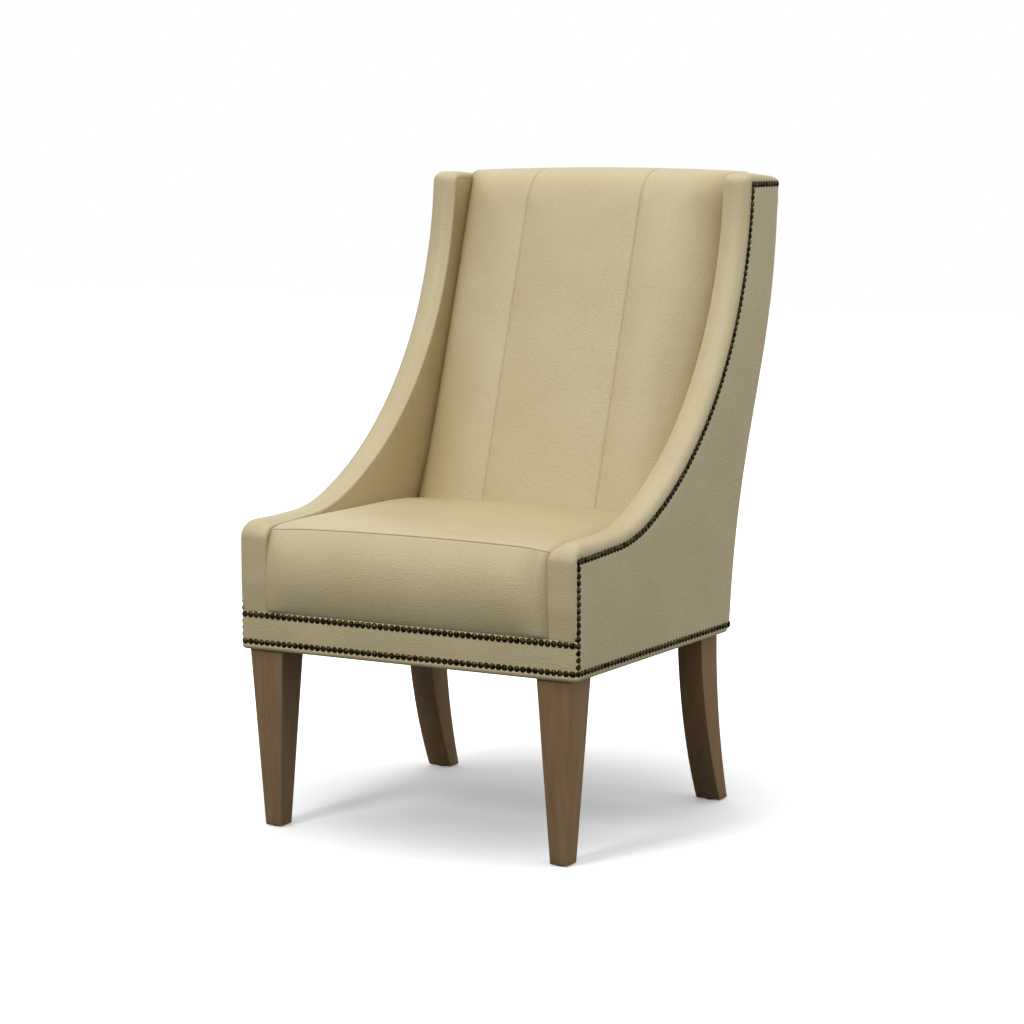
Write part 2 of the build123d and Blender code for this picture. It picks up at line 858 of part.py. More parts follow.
pieces = {
    "rear_leg_left": rear_leg_left.part,
    "rear_leg_right": flipped(rear_leg_left.part),
    "front_leg_left": front_leg_left.part,
    "front_leg_right": flipped(front_leg_left.part),
    "foot_glides": foot_glides.part,
    "front_rail": front_rail.part,
    "rear_rail": rear_rail.part,
    "side_rail_left": side_rail_left.part,
    "side_rail_right": flipped(side_rail_left.part),
    "corner_blocks": corner_blocks.part,
    "leg_bolts": leg_bolts.part,
    "top_rail": top_rail,
    "lower_back_rail": lower_back_rail,
    "arm_panel_left": arm_panel_left.part,
    "arm_panel_right": flipped(arm_panel_left.part),
    "seat_webbing": seat_webbing.part,
    "back_webbing": back_webbing.part,
    "arm_pad_left": arm_pad_left.part,
    "arm_pad_right": flipped(arm_pad_left.part),
    "arm_cover_left": arm_cover_left.part,
    "arm_cover_right": flipped(arm_cover_left.part),
    "outer_side_left": outer_side_left.part,
    "outer_side_right": flipped(outer_side_left.part),
    "outer_back": outer_back.part,
    "outer_back_padding": outer_back_padding.part,
    "back_foam": back_foam,
    "inside_back_left": inside_back_left,
    "inside_back_centre": inside_back_centre,
    "inside_back_right": inside_back_right,
    "seat_foam": seat_foam,
    "seat_cover": seat_cover.part,
    "apron_band": apron_band.part,
    "apron_padding": apron_padding.part,
    "dust_cover": dust_cover.part,
    "front_nails": front_nails,
    "side_nails_left": side_nails_left,
    "side_nails_right": flipped(side_nails_left),
    "back_nails": back_nails.part,
}

os.makedirs("parts", exist_ok=True)
for name, piece in pieces.items():
    piece.label = name
    export_step(piece, f"parts/{name}.step")
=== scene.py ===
"""Looks of an upholstered slope-arm dining chair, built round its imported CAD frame.

Metres throughout. The chair faces -Y, +Z is up and the sitter's left is +X. Side views are
worked out as depth behind the apron's face against height above the floor.
"""

import json
import logging
import math
from dataclasses import dataclass
from enum import Enum
from functools import cached_property

import bpy
import numpy as np
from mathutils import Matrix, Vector


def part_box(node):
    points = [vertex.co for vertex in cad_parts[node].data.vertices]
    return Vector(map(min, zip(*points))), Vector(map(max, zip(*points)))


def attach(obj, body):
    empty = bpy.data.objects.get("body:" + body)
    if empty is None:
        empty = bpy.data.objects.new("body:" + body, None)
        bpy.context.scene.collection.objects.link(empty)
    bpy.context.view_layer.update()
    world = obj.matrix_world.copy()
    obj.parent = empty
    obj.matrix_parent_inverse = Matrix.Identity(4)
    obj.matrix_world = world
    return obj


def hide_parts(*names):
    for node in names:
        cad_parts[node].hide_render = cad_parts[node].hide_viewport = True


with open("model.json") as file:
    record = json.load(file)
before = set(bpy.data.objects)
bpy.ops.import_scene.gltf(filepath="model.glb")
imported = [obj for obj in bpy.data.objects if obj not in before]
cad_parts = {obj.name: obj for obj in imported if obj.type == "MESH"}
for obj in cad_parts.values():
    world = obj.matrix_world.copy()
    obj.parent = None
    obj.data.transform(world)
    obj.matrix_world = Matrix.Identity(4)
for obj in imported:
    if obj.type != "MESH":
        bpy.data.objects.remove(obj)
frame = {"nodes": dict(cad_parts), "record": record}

Array = np.ndarray
Color = tuple[float, float, float]
Socket = bpy.types.NodeSocket
LOG = logging.getLogger("chair")
LEATHER_THICKNESS = 0.0018


class Side(Enum):
    """The two sides of the chair, as the sign of X."""

    LEFT = 1
    RIGHT = -1

    @property
    def word(self) -> str:
        """The side's name as the nodes spell it."""
        return self.name.lower()


class Fill(Enum):
    """How tightly a padded piece is stuffed."""

    FIRM = 0.8
    TIGHT = 0.9


class Slot(Enum):
    """Material slots of the record, passed along with new pieces."""

    LEATHER = "cover_leather"
    BRONZE = "nailhead_bronze"
    WOOD = "leg_wood"
    CLOTH = "dust_cloth"


def linear(*screen: int) -> Color:
    """Scene linear colour of a screen colour, given as red, green and blue from 0 to 255."""
    shares = np.array(screen) / 255
    return tuple(np.where(shares <= 0.04045, shares / 12.92, ((shares + 0.055) / 1.055) ** 2.4).tolist())


def ease(value: Array) -> Array:
    """Smooth step from 0 to 1: 3t^2 - 2t^3 with t held between 0 and 1."""
    held = np.clip(value, 0, 1)
    return held * held * (3 - 2 * held)


def rounding(across: Array, start: float, radius: float) -> Array:
    """Drop r (1 - sqrt(1 - e^2)) of a quarter circle, with e = (|across| - start) / r in 0 to 1."""
    share = np.clip((np.abs(across) - start) / radius, 0, 1)
    return radius * (1 - np.sqrt(1 - share * share))


def spread(knots: list[float], counts: list[int]) -> Array:
    """Numbers from knot to knot, with a count of even steps in each span."""
    spans = [np.linspace(a, b, n + 1)[:-1] for a, b, n in zip(knots, knots[1:], counts)]
    return np.concatenate([*spans, [knots[-1]]])


def quarter(count: int) -> Array:
    """Angles of a quarter turn, both ends included."""
    return np.radians(np.linspace(0, 90, count))


def mirrored(right: Array, flip: float | Array = -1.0) -> Array:
    """Values of both sides from those of one, which starts in the middle."""
    return np.concatenate([right[:0:-1] * flip, right])


def stacked(*parts: Array) -> Array:
    """Points from their coordinates, given as arrays of shapes that match."""
    return np.stack(np.broadcast_arrays(*parts), axis=-1)


def travelled(line: Array) -> Array:
    """Distance along a line of points, from 0 at its start."""
    return np.concatenate([[0], np.cumsum(np.linalg.norm(np.diff(line, axis=0), axis=1))])


def evenly(line: Array, count: int) -> Array:
    """Points at even distances along a line of points, both ends included."""
    way = travelled(line)
    return stacked(*(np.interp(np.linspace(0, way[-1], count), way, column) for column in line.T))


@dataclass
class Grid:
    """A surface of rows and columns of points."""

    points: Array  # rows, columns and three coordinates
    loop: bool = False  # the last column joins the first
    capped: bool = False  # the first and last rows are closed by fans to their middles
    keep: Array | None = None  # mask of the quads that are kept

    def quads(self) -> Array:
        """Corner numbers of the quads.

        Returns:
            An array of four columns.
        """
        rows, columns = self.points.shape[:2]
        number = np.arange(rows * columns).reshape(rows, columns)
        if self.loop:
            number = np.hstack([number, number[:, :1]])
        corners = [number[:-1, :-1], number[:-1, 1:], number[1:, 1:], number[1:, :-1]]
        quads = np.stack(corners, axis=-1)
        return quads.reshape(-1, 4) if self.keep is None else quads[self.keep]

    def fans(self, first: int) -> tuple[Array, Array]:
        """Fans that close the first and last rows.

        Args:
            first: Number that the first new point gets.

        Returns:
            The two middle points and the triangles.
        """
        rows, columns = self.points.shape[:2]
        middles = np.stack([self.points[0].mean(0), self.points[-1].mean(0)])
        ring = np.arange(columns)
        last = ring + (rows - 1) * columns
        start = stacked(ring, first, np.roll(ring, -1))
        end = stacked(np.roll(last, -1), first + 1, last)
        return middles, np.vstack([start, end])

    def mesh(self, name: str) -> bpy.types.Mesh:
        """The surface as a smooth mesh; a capped one faces outwards.

        A closed surface has the volume sum(a . (b x c)) / 6 over its triangles, and is
        turned over if that is negative.

        Args:
            name: Name of the mesh.

        Returns:
            The new mesh.
        """
        points = self.points.reshape(-1, 3)
        faces = self.quads()
        polygons = faces.tolist()
        volume = 0.0
        if self.capped:
            middles, fan = self.fans(len(points))
            points = np.vstack([points, middles])
            polygons += fan.tolist()
            triangles = np.vstack([faces[:, [0, 1, 2]], faces[:, [0, 2, 3]], fan])
            a, b, c = (points[triangles[:, corner]] for corner in range(3))
            volume = np.einsum("ij,ij->", a, np.cross(b, c)) / 6
        made = bpy.data.meshes.new(name)
        made.from_pydata(points.tolist(), [], polygons)
        if volume < 0:
            made.flip_normals()
        made.shade_smooth()
        made.update()
        return made


@dataclass
class Puff:
    """Swells a sewn cover by cloth simulation, with its seams held."""

    pressure: float = 4.0  # air pressure inside the cover
    cap: float = 0.005  # furthest that any point may move
    frames: int = 20  # frames that are simulated
    stiffness: float = 25.0  # resistance of the leather to stretching
    bending: float = 1.0  # its resistance to bending
    mass: float = 0.4  # mass of a point
    quality: int = 6  # steps in a frame

    def settle(self, piece: bpy.types.Object, held: Array) -> None:
        """Runs the simulation and moves the piece's own points by its capped result.

        Args:
            piece: Closed piece with no other modifiers.
            held: Mask of the points that are sewn down.
        """
        group = piece.vertex_groups.new(name="sewn")
        group.add(np.flatnonzero(held).tolist(), 1.0, "REPLACE")
        cloth = piece.modifiers.new("Swell", "CLOTH")
        settings = cloth.settings
        settings.quality = self.quality
        settings.mass = self.mass
        settings.tension_stiffness = self.stiffness
        settings.compression_stiffness = self.stiffness
        settings.shear_stiffness = self.stiffness / 3
        settings.bending_stiffness = self.bending
        settings.use_pressure = True
        settings.uniform_pressure_force = self.pressure
        settings.vertex_group_mass = group.name
        settings.effector_weights.gravity = 0.0
        cloth.collision_settings.use_collision = False
        cloth.point_cache.frame_start = 1
        cloth.point_cache.frame_end = self.frames
        scene = bpy.context.scene
        for step in range(1, self.frames + 1):
            scene.frame_set(step)
        rest = self.coordinates(piece.data)
        shown = piece.evaluated_get(bpy.context.evaluated_depsgraph_get())
        moved = self.coordinates(shown.data) - rest
        length = np.linalg.norm(moved, axis=1, keepdims=True)
        moved *= np.minimum(1.0, self.cap / np.maximum(length, 1e-9))
        piece.modifiers.remove(cloth)
        piece.vertex_groups.remove(group)
        scene.frame_set(1)
        piece.data.vertices.foreach_set("co", (rest + moved).astype(np.float32).ravel())
        piece.data.update()
        LOG.info("%s swelled by up to %.1f mm", piece.name, 1000 * float(length.max()))

    @staticmethod
    def coordinates(mesh: bpy.types.Mesh) -> Array:
        """The mesh's points.

        Args:
            mesh: A mesh.

        Returns:
            An array of three columns.
        """
        flat = np.zeros(len(mesh.vertices) * 3, np.float32)
        mesh.vertices.foreach_get("co", flat)
        return flat.reshape(-1, 3).astype(float)


class Nodes:
    """Builds the node tree of a material or of the world round its own shader."""

    def __init__(self, owner: bpy.types.ID, shader: str = "Principled BSDF") -> None:
        """Starts on the tree.

        Args:
            owner: New material or world.
            shader: Name of the shader that its tree starts with.
        """
        owner.use_nodes = True
        self.owner = owner
        self.tree = owner.node_tree
        self.shader = self.tree.nodes[shader]

    @cached_property
    def place(self) -> Socket:
        """Object coordinates."""
        return self.add("TexCoord").outputs["Object"]

    def fill(self, node: bpy.types.Node, *values: object, **settings: object) -> bpy.types.Node:
        """Sets a node's properties and inputs. A socket is linked, another value is written.

        Args:
            node: The node.
            *values: Its inputs in order.
            **settings: Properties, or inputs by name with underscores for spaces. None is skipped.

        Returns:
            The same node.
        """
        for name, value in [*settings.items(), *enumerate(values)]:
            if isinstance(name, str) and hasattr(node, name):
                setattr(node, name, value)
                continue
            socket = node.inputs[name.replace("_", " ") if isinstance(name, str) else name]
            if isinstance(value, Socket):
                self.tree.links.new(value, socket)
            elif value is not None:
                socket.default_value = value
        return node

    def add(self, kind: str, *values: object, **settings: object) -> bpy.types.Node:
        """Adds a node of a kind, named without its ShaderNode prefix, and fills it."""
        return self.fill(self.tree.nodes.new("ShaderNode" + kind), *values, **settings)

    def shade(self, **settings: object) -> bpy.types.ID:
        """Fills the shader's inputs and gives back the material or world."""
        self.fill(self.shader, **settings)
        return self.owner

    def math(self, operation: str, *values: object) -> Socket:
        """Result of a sum on values or sockets."""
        return self.add("Math", *values, operation=operation).outputs[0]

    def noise(self, scale: float, detail: float, at: Socket | None = None) -> Socket:
        """A noise value over the given coordinates, or over the object's own."""
        return self.add("TexNoise", Scale=scale, Detail=detail, Vector=at or self.place).outputs["Fac"]

    def ranged(self, value: Socket, low: float, high: float, **settings: float) -> Socket:
        """A value from 0 to 1, or from a range that is given, carried to another range."""
        return self.add("MapRange", Value=value, To_Min=low, To_Max=high, **settings).outputs["Result"]

    def bump(self, height: Socket, strength: float, distance: float, under: Socket | None = None) -> Socket:
        """A bump from a height, laid over another where one is given."""
        settings = {"Strength": strength, "Distance": distance, "Height": height, "Normal": under}
        return self.add("Bump", **settings).outputs["Normal"]

    def ramp(self, value: Socket, *stops: tuple[float, Color]) -> Socket:
        """Colours along a value.

        Args:
            value: The value from 0 to 1.
            *stops: Two places and their linear colours.

        Returns:
            The colour output.
        """
        made = self.add("ValToRGB", Fac=value)
        for element, (place, tone) in zip(made.color_ramp.elements, stops):
            element.position = place
            element.color = (*tone, 1.0)
        return made.outputs["Color"]

    def seen(self, share: float) -> Socket:
        """How much a ray sees: 1 for the camera's, a share in gloss and through glass.

        Args:
            share: That share.

        Returns:
            The value.
        """
        ray = self.add("LightPath").outputs
        value = ray["Is Camera Ray"]
        for kind in ("Is Glossy Ray", "Is Transmission Ray"):
            value = self.math("MULTIPLY_ADD", ray[kind], share, value)
        return value


@dataclass(frozen=True)
class LeatherFinish:
    """Pale khaki leather with a fine pebble grain and painted shade along its seams."""

    name: str = "khaki_leather"
    tone: Color = linear(194, 180, 140)
    shade: Color = linear(188, 173, 132)  # darker clouds
    # colour of the painted shade in the seam grooves
    seam: Color = linear(92, 79, 50)
    pebble: float = 420.0  # pebbles in a metre
    wander: float = 0.003  # how far the pebbles stray from even cells
    relief: float = 0.0008  # height of the grain

    def material(self) -> bpy.types.Material:
        """Faint clouds of colour, painted shade along the seams, pebbles by cell distance, and soft gloss
        that follows fine creases.

        Returns:
            The material.
        """
        nodes = Nodes(bpy.data.materials.new(self.name))
        tone = nodes.ramp(nodes.noise(7.0, 5.0), (0.35, self.shade), (0.65, self.tone))
        # painted shade: the tone darkens towards the seam colour where the crease attribute is high
        crease = nodes.add("Attribute", attribute_name="crease").outputs["Fac"]
        sewn = nodes.add("Mix", data_type="RGBA", Factor=crease, A=tone, B=(*self.seam, 1.0))
        waver = nodes.add("TexNoise", Scale=160.0, Detail=2.0, Vector=nodes.place).outputs["Color"]
        stray = nodes.add("VectorMath", waver, [self.wander] * 3, nodes.place, operation="MULTIPLY_ADD")
        cells = nodes.add("TexVoronoi", feature="SMOOTH_F1", Scale=self.pebble, Smoothness=0.5)
        nodes.fill(cells, Vector=stray.outputs["Vector"])
        grain = nodes.bump(cells.outputs["Distance"], 0.7, self.relief)
        creases = nodes.noise(90.0, 6.0)
        return nodes.shade(
            Base_Color=sewn.outputs["Result"],
            Normal=nodes.bump(creases, 0.04, 0.0006, grain),
            Roughness=nodes.ranged(creases, 0.40, 0.54),
            Specular_IOR_Level=0.62,
        )


@dataclass(frozen=True)
class WoodFinish:
    """Stained wood with its grain along one axis."""

    name: str = "stained_walnut"
    light: Color = linear(150, 122, 88)  # between the grain lines
    dark: Color = linear(124, 98, 68)  # the grain lines
    gloss: float = 0.52  # lowest roughness of the lacquer
    along: str = "Z"  # axis of the grain
    squeeze: float = 0.06  # how much the grain is drawn out

    def material(self) -> bpy.types.Material:
        """Long streaks from noise stretched along the grain, with fine pores as bump.

        Returns:
            The material.
        """
        nodes = Nodes(bpy.data.materials.new(self.name))
        scale = [self.squeeze if axis == self.along else 1.0 for axis in "XYZ"]
        run = nodes.add("Mapping", Scale=scale, Vector=nodes.place).outputs["Vector"]
        streaks = nodes.noise(130.0, 6.0, run)
        broad = nodes.math("MULTIPLY", nodes.noise(28.0, 3.0, run), 0.45)
        blend = nodes.math("MULTIPLY_ADD", streaks, 0.55, broad)
        return nodes.shade(
            Base_Color=nodes.ramp(blend, (0.30, self.dark), (0.70, self.light)),
            Normal=nodes.bump(nodes.noise(520.0, 3.0, run), 0.22, 0.0004),
            Roughness=nodes.ranged(streaks, self.gloss, self.gloss + 0.2),
            Specular_IOR_Level=0.25,
        )


@dataclass(frozen=True)
class BronzeFinish:
    """Dark antique bronze, rubbed brighter in places."""

    name: str = "antique_bronze"
    dark: Color = linear(20, 16, 8)  # the patina
    rubbed: Color = linear(92, 77, 43)  # where it is worn

    def material(self) -> bpy.types.Material:
        """Patchy patina from noise at the size of a nail head, on metal.

        Returns:
            The material.
        """
        nodes = Nodes(bpy.data.materials.new(self.name))
        patches = nodes.noise(160.0, 3.0)
        return nodes.shade(
            Base_Color=nodes.ramp(patches, (0.40, self.dark), (0.85, self.rubbed)),
            Normal=nodes.bump(nodes.noise(700.0, 2.0), 0.2, 0.0003),
            Roughness=nodes.ranged(patches, 0.34, 0.26),
            Metallic=1.0,
        )


@dataclass(frozen=True)
class WovenFinish:
    """Plain weave, such as jute webbing or cambric."""

    name: str
    light: Color  # on the threads
    dark: Color  # between them
    threads: float  # threads in a metre

    def material(self) -> bpy.types.Material:
        """Crossed waves along X and Y for the threads, as colour and as bump.

        Returns:
            The material.
        """
        nodes = Nodes(bpy.data.materials.new(self.name))
        wave = {"Scale": self.threads / 6.28, "Distortion": 0.4, "Vector": nodes.place}
        waves = [nodes.add("TexWave", bands_direction=axis, **wave).outputs["Fac"] for axis in "XY"]
        over = nodes.math("MULTIPLY", *waves)
        return nodes.shade(
            Base_Color=nodes.ramp(over, (0.1, self.dark), (0.7, self.light)),
            Normal=nodes.bump(over, 0.5, 0.0004),
            Roughness=0.9,
        )


@dataclass(frozen=True)
class PlainFinish:
    """A moulded or plated surface with faint mottling."""

    name: str
    tone: Color
    metal: float  # 1 for metal, 0 for plastic
    roughness: float  # middle roughness

    def material(self) -> bpy.types.Material:
        """Mottled tone and roughness from fine noise, with a slight bump.

        Returns:
            The material.
        """
        nodes = Nodes(bpy.data.materials.new(self.name))
        mottle = nodes.noise(240.0, 3.0)
        darker = tuple(0.7 * value for value in self.tone)
        return nodes.shade(
            Base_Color=nodes.ramp(mottle, (0.35, darker), (0.65, self.tone)),
            Normal=nodes.bump(mottle, 0.1, 0.0002),
            Roughness=nodes.ranged(mottle, self.roughness - 0.08, self.roughness + 0.08),
            Metallic=self.metal,
        )


@dataclass(frozen=True)
class SideLines:
    """Side view of the body: the crest of arm and wing, and the S-shaped back.

    Lengths are in metres and angles in degrees, as the frame was built to.
    """

    front_y: float
    half_width: float = 0.3175
    inner_half: float = 0.2695
    apron_depth: float = 0.559
    leg_height: float = 0.308
    frame_top: float = 0.371
    arm_height: float = 0.515
    back_height: float = 1.095
    arm_slope: float = 3.0
    arm_corner: float = 0.022
    arm_top_run: float = 0.139
    rise_radius: float = 0.300
    rise_angle: float = 22.5
    wing_depth: float = 0.123
    wing_straight: float = 0.033
    wing_corner: float = 0.018
    back_rake: float = 4.0
    back_lean: float = 21.0
    lower_bend: float = 0.640
    upper_bend: float = 0.770
    back_upright: float = 0.017
    rear_round: float = 0.016
    nail_drop: float = 0.018
    nail_column: float = 0.0055
    foot_drop: float = 0.010  # how far the crest starts below the frame's top
    foot_run: float = 0.018  # its closely divided start
    level: int = 36  # number of the crest point where the arm's top starts

    @property
    def post_top(self) -> float:
        """Height where the back line turns upright."""
        return self.back_height - self.back_upright

    @property
    def back_top(self) -> float:
        """Depth of the back at its top."""
        return float(self.back_depth(np.array([self.back_height]))[0])

    @property
    def wing_row(self) -> float:
        """Height of the nails along the wing's top."""
        return self.back_height - self.nail_drop

    def back_depth(self, height: Array, shift: float = 0.0, more_lean: float = 0.0) -> Array:
        """Depth of the back line at heights.

        A lower arc turns from the rake to the lean, d = r (cos rake - cos a) with
        sin a = sin rake + rise / r, then comes a straight run, then an arc that turns
        upright, and above it the line is plumb.

        Args:
            height: Heights above the floor.
            shift: Depth that is added.
            more_lean: Degrees that the straight run leans further.

        Returns:
            Depths behind the apron's face.
        """
        lean, rake = math.radians(self.back_lean + more_lean), math.radians(self.back_rake)
        low_radius = (self.lower_bend - self.leg_height) / (math.sin(lean) - math.sin(rake))
        top_radius = (self.post_top - self.upper_bend) / math.sin(lean)
        low = np.clip(height, self.leg_height, self.lower_bend) - self.leg_height
        straight = np.clip(height, self.lower_bend, self.upper_bend) - self.lower_bend
        left = np.arcsin((self.post_top - np.clip(height, self.upper_bend, self.post_top)) / top_radius)
        turn = np.arcsin(math.sin(rake) + low / low_radius)
        depth = self.apron_depth + low_radius * (math.cos(rake) - np.cos(turn))
        depth = depth + math.tan(lean) * straight
        return depth + top_radius * (np.cos(left) - math.cos(lean)) + shift

    def place(self, across: Array, depth: Array, height: Array) -> Array:
        """Points of the chair's frame from width, depth and height, of any matching shapes."""
        return stacked(across, depth + self.front_y, height)

    def crest(self) -> tuple[Array, Array]:
        """The crest from the foot of the arm's front over the wing's top and down behind it.

        The line runs as a turtle would: straight runs and arcs of given radius and turn,
        each point p + integral of (cos heading, sin heading).

        Returns:
            Points as depth and height, and the normals that point into the arm.
        """
        slope, rise = math.radians(self.arm_slope), math.radians(self.rise_angle)
        corner_run = self.arm_corner * math.tan((math.pi / 2 - slope) / 2)
        level_rise = self.arm_top_run * math.tan(slope)
        curve_rise = self.rise_radius * (math.cos(slope) - math.cos(rise))
        curve_run = self.rise_radius * (math.sin(rise) - math.sin(slope))
        rise_end = np.array([self.arm_top_run + curve_run, self.arm_height + level_rise + curve_rise])
        wing_end = np.array([self.back_top - self.wing_depth, self.back_height - self.wing_straight])
        chord = wing_end - rise_end
        turn = 2 * (math.atan2(chord[1], chord[0]) - rise)
        sweep_radius = float(np.linalg.norm(chord)) / (2 * math.sin(turn / 2))
        wing = rise + turn
        corner_reach = self.wing_corner * math.tan(wing / 2)
        wing_run = self.wing_straight / math.sin(wing) - corner_reach
        top_start = wing_end[0] + self.wing_straight / math.tan(wing) + corner_reach
        start = np.array([0.0, self.frame_top - self.foot_drop])
        # Length or radius, turn, and count of points of each run
        runs = [
            (self.foot_run, 0.0, 8),
            (self.arm_height - corner_run - start[1] - self.foot_run, 0.0, 16),
            (self.arm_corner, slope - math.pi / 2, 12),
            (self.arm_top_run / math.cos(slope) - corner_run, 0.0, 16),
            (self.rise_radius, rise - slope, 16),
            (sweep_radius, turn, 64),
            (wing_run, 0.0, 5),
            (self.wing_corner, -wing, 10),
            (self.back_top - self.rear_round - top_start, 0.0, 18),
            (self.rear_round, -math.pi / 2, 8),
            (self.nail_drop - self.rear_round, 0.0, 4),
        ]
        point, heading = start, math.pi / 2
        points, headings = [start[None]], [np.array([heading])]
        for length, bend, count in runs:
            share = np.arange(1, count + 1) / count
            angle = heading + bend * share
            if bend:
                radius = math.copysign(length, bend)
                turned = stacked(np.sin(angle) - math.sin(heading), math.cos(heading) - np.cos(angle))
                step = radius * turned
            else:
                step = length * share[:, None] * np.array([math.cos(heading), math.sin(heading)])
            points.append(point + step)
            headings.append(angle)
            point, heading = points[-1][-1], float(angle[-1])
        line, way = np.concatenate(points), np.concatenate(headings)
        return line, stacked(np.sin(way), -np.cos(way))

    def nail_line(self) -> Array:
        """Line that the cover is nailed along, point for point with the crest.

        It is the crest moved in by the nails' distance. Along the arm's front it is the upright
        column, at the wing's corner it holds still, and behind it stays on the top row.

        Returns:
            Points as depth and height.
        """
        line, normal = self.crest()
        upright = np.clip(1 - normal[:, :1], 0, 1)
        front = line[:, :1] < self.arm_corner
        near = self.nail_column + (self.nail_drop - self.nail_column) * upright
        nails = line + normal * np.where(front, near, self.nail_drop)
        wing = int(np.argmax(nails[:, 1] > self.wing_row))
        way = nails[wing - 1] - nails[wing - 2]
        corner = nails[wing - 1] + way * (self.wing_row - nails[wing - 1, 1]) / way[1]
        nails[wing:, 0] = np.clip(line[wing:, 0], corner[0], self.back_top)
        nails[wing:, 1] = self.wing_row
        return nails


@dataclass
class Part:
    """What every sub-assembly has: the chair's side view, and its own finish."""

    lines: SideLines
    finish: bpy.types.Material

    def add(self, name: str, mesh: bpy.types.Mesh, slot: Slot, *nodes: str) -> bpy.types.Object:
        """Adds a piece that rides on the chair and stands for CAD nodes.

        Args:
            name: Name of the piece.
            mesh: Its mesh, in place.
            slot: Material slot of the record; not used.
            *nodes: CAD nodes that it stands for.

        Returns:
            The new object.
        """
        made = bpy.data.objects.new(name, mesh)
        bpy.context.scene.collection.objects.link(made)
        mesh.materials.append(self.finish)
        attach(made, "root")
        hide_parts(*nodes)
        LOG.info("%s: %d points, %d faces", name, len(mesh.vertices), len(mesh.polygons))
        return made

    def panel(self, name: str, points: Array, *nodes: str) -> None:
        """Adds an open sheet of leather, with its thickness on the side that it turns away from.

        Args:
            name: Name of the piece.
            points: Its rows and columns of points.
            *nodes: CAD nodes that it stands for.
        """
        piece = self.add(name, Grid(points).mesh(name), Slot.LEATHER, *nodes)
        wall = piece.modifiers.new("Thickness", "SOLIDIFY")
        wall.thickness = LEATHER_THICKNESS
        wall.offset = -1.0

    def pad(
        self, name: str, points: Array, crease: Array, fill: Fill, *nodes: str, held: Array | None = None
    ) -> None:
        """Adds a closed padded piece, with painted shade along its seams.

        Args:
            name: Name of the piece.
            points: Its rows and columns of points.
            crease: Painted shade at each point, from how deep in a seam it lies, 0 to 1.
            fill: How tightly it is stuffed; not used.
            *nodes: CAD nodes that it stands for.
            held: Mask of the points that are sewn down, where the rest is to swell.
        """
        mesh = Grid(points, loop=True, capped=True).mesh(name)
        # painted shade along the seams, stored for the leather to darken by
        depths = np.broadcast_to(crease, points.shape[:2]).ravel()
        values = np.append(depths, [0, 0]).astype(np.float32)
        mesh.attributes.new("crease", "FLOAT", "POINT").data.foreach_set("value", values)
        piece = self.add(name, mesh, Slot.LEATHER, *nodes)
        if held is not None:
            Puff().settle(piece, np.append(held.ravel(), [True, True]))
        finer = piece.modifiers.new("Finer", "SUBSURF")
        finer.levels = 1
        finer.render_levels = 1


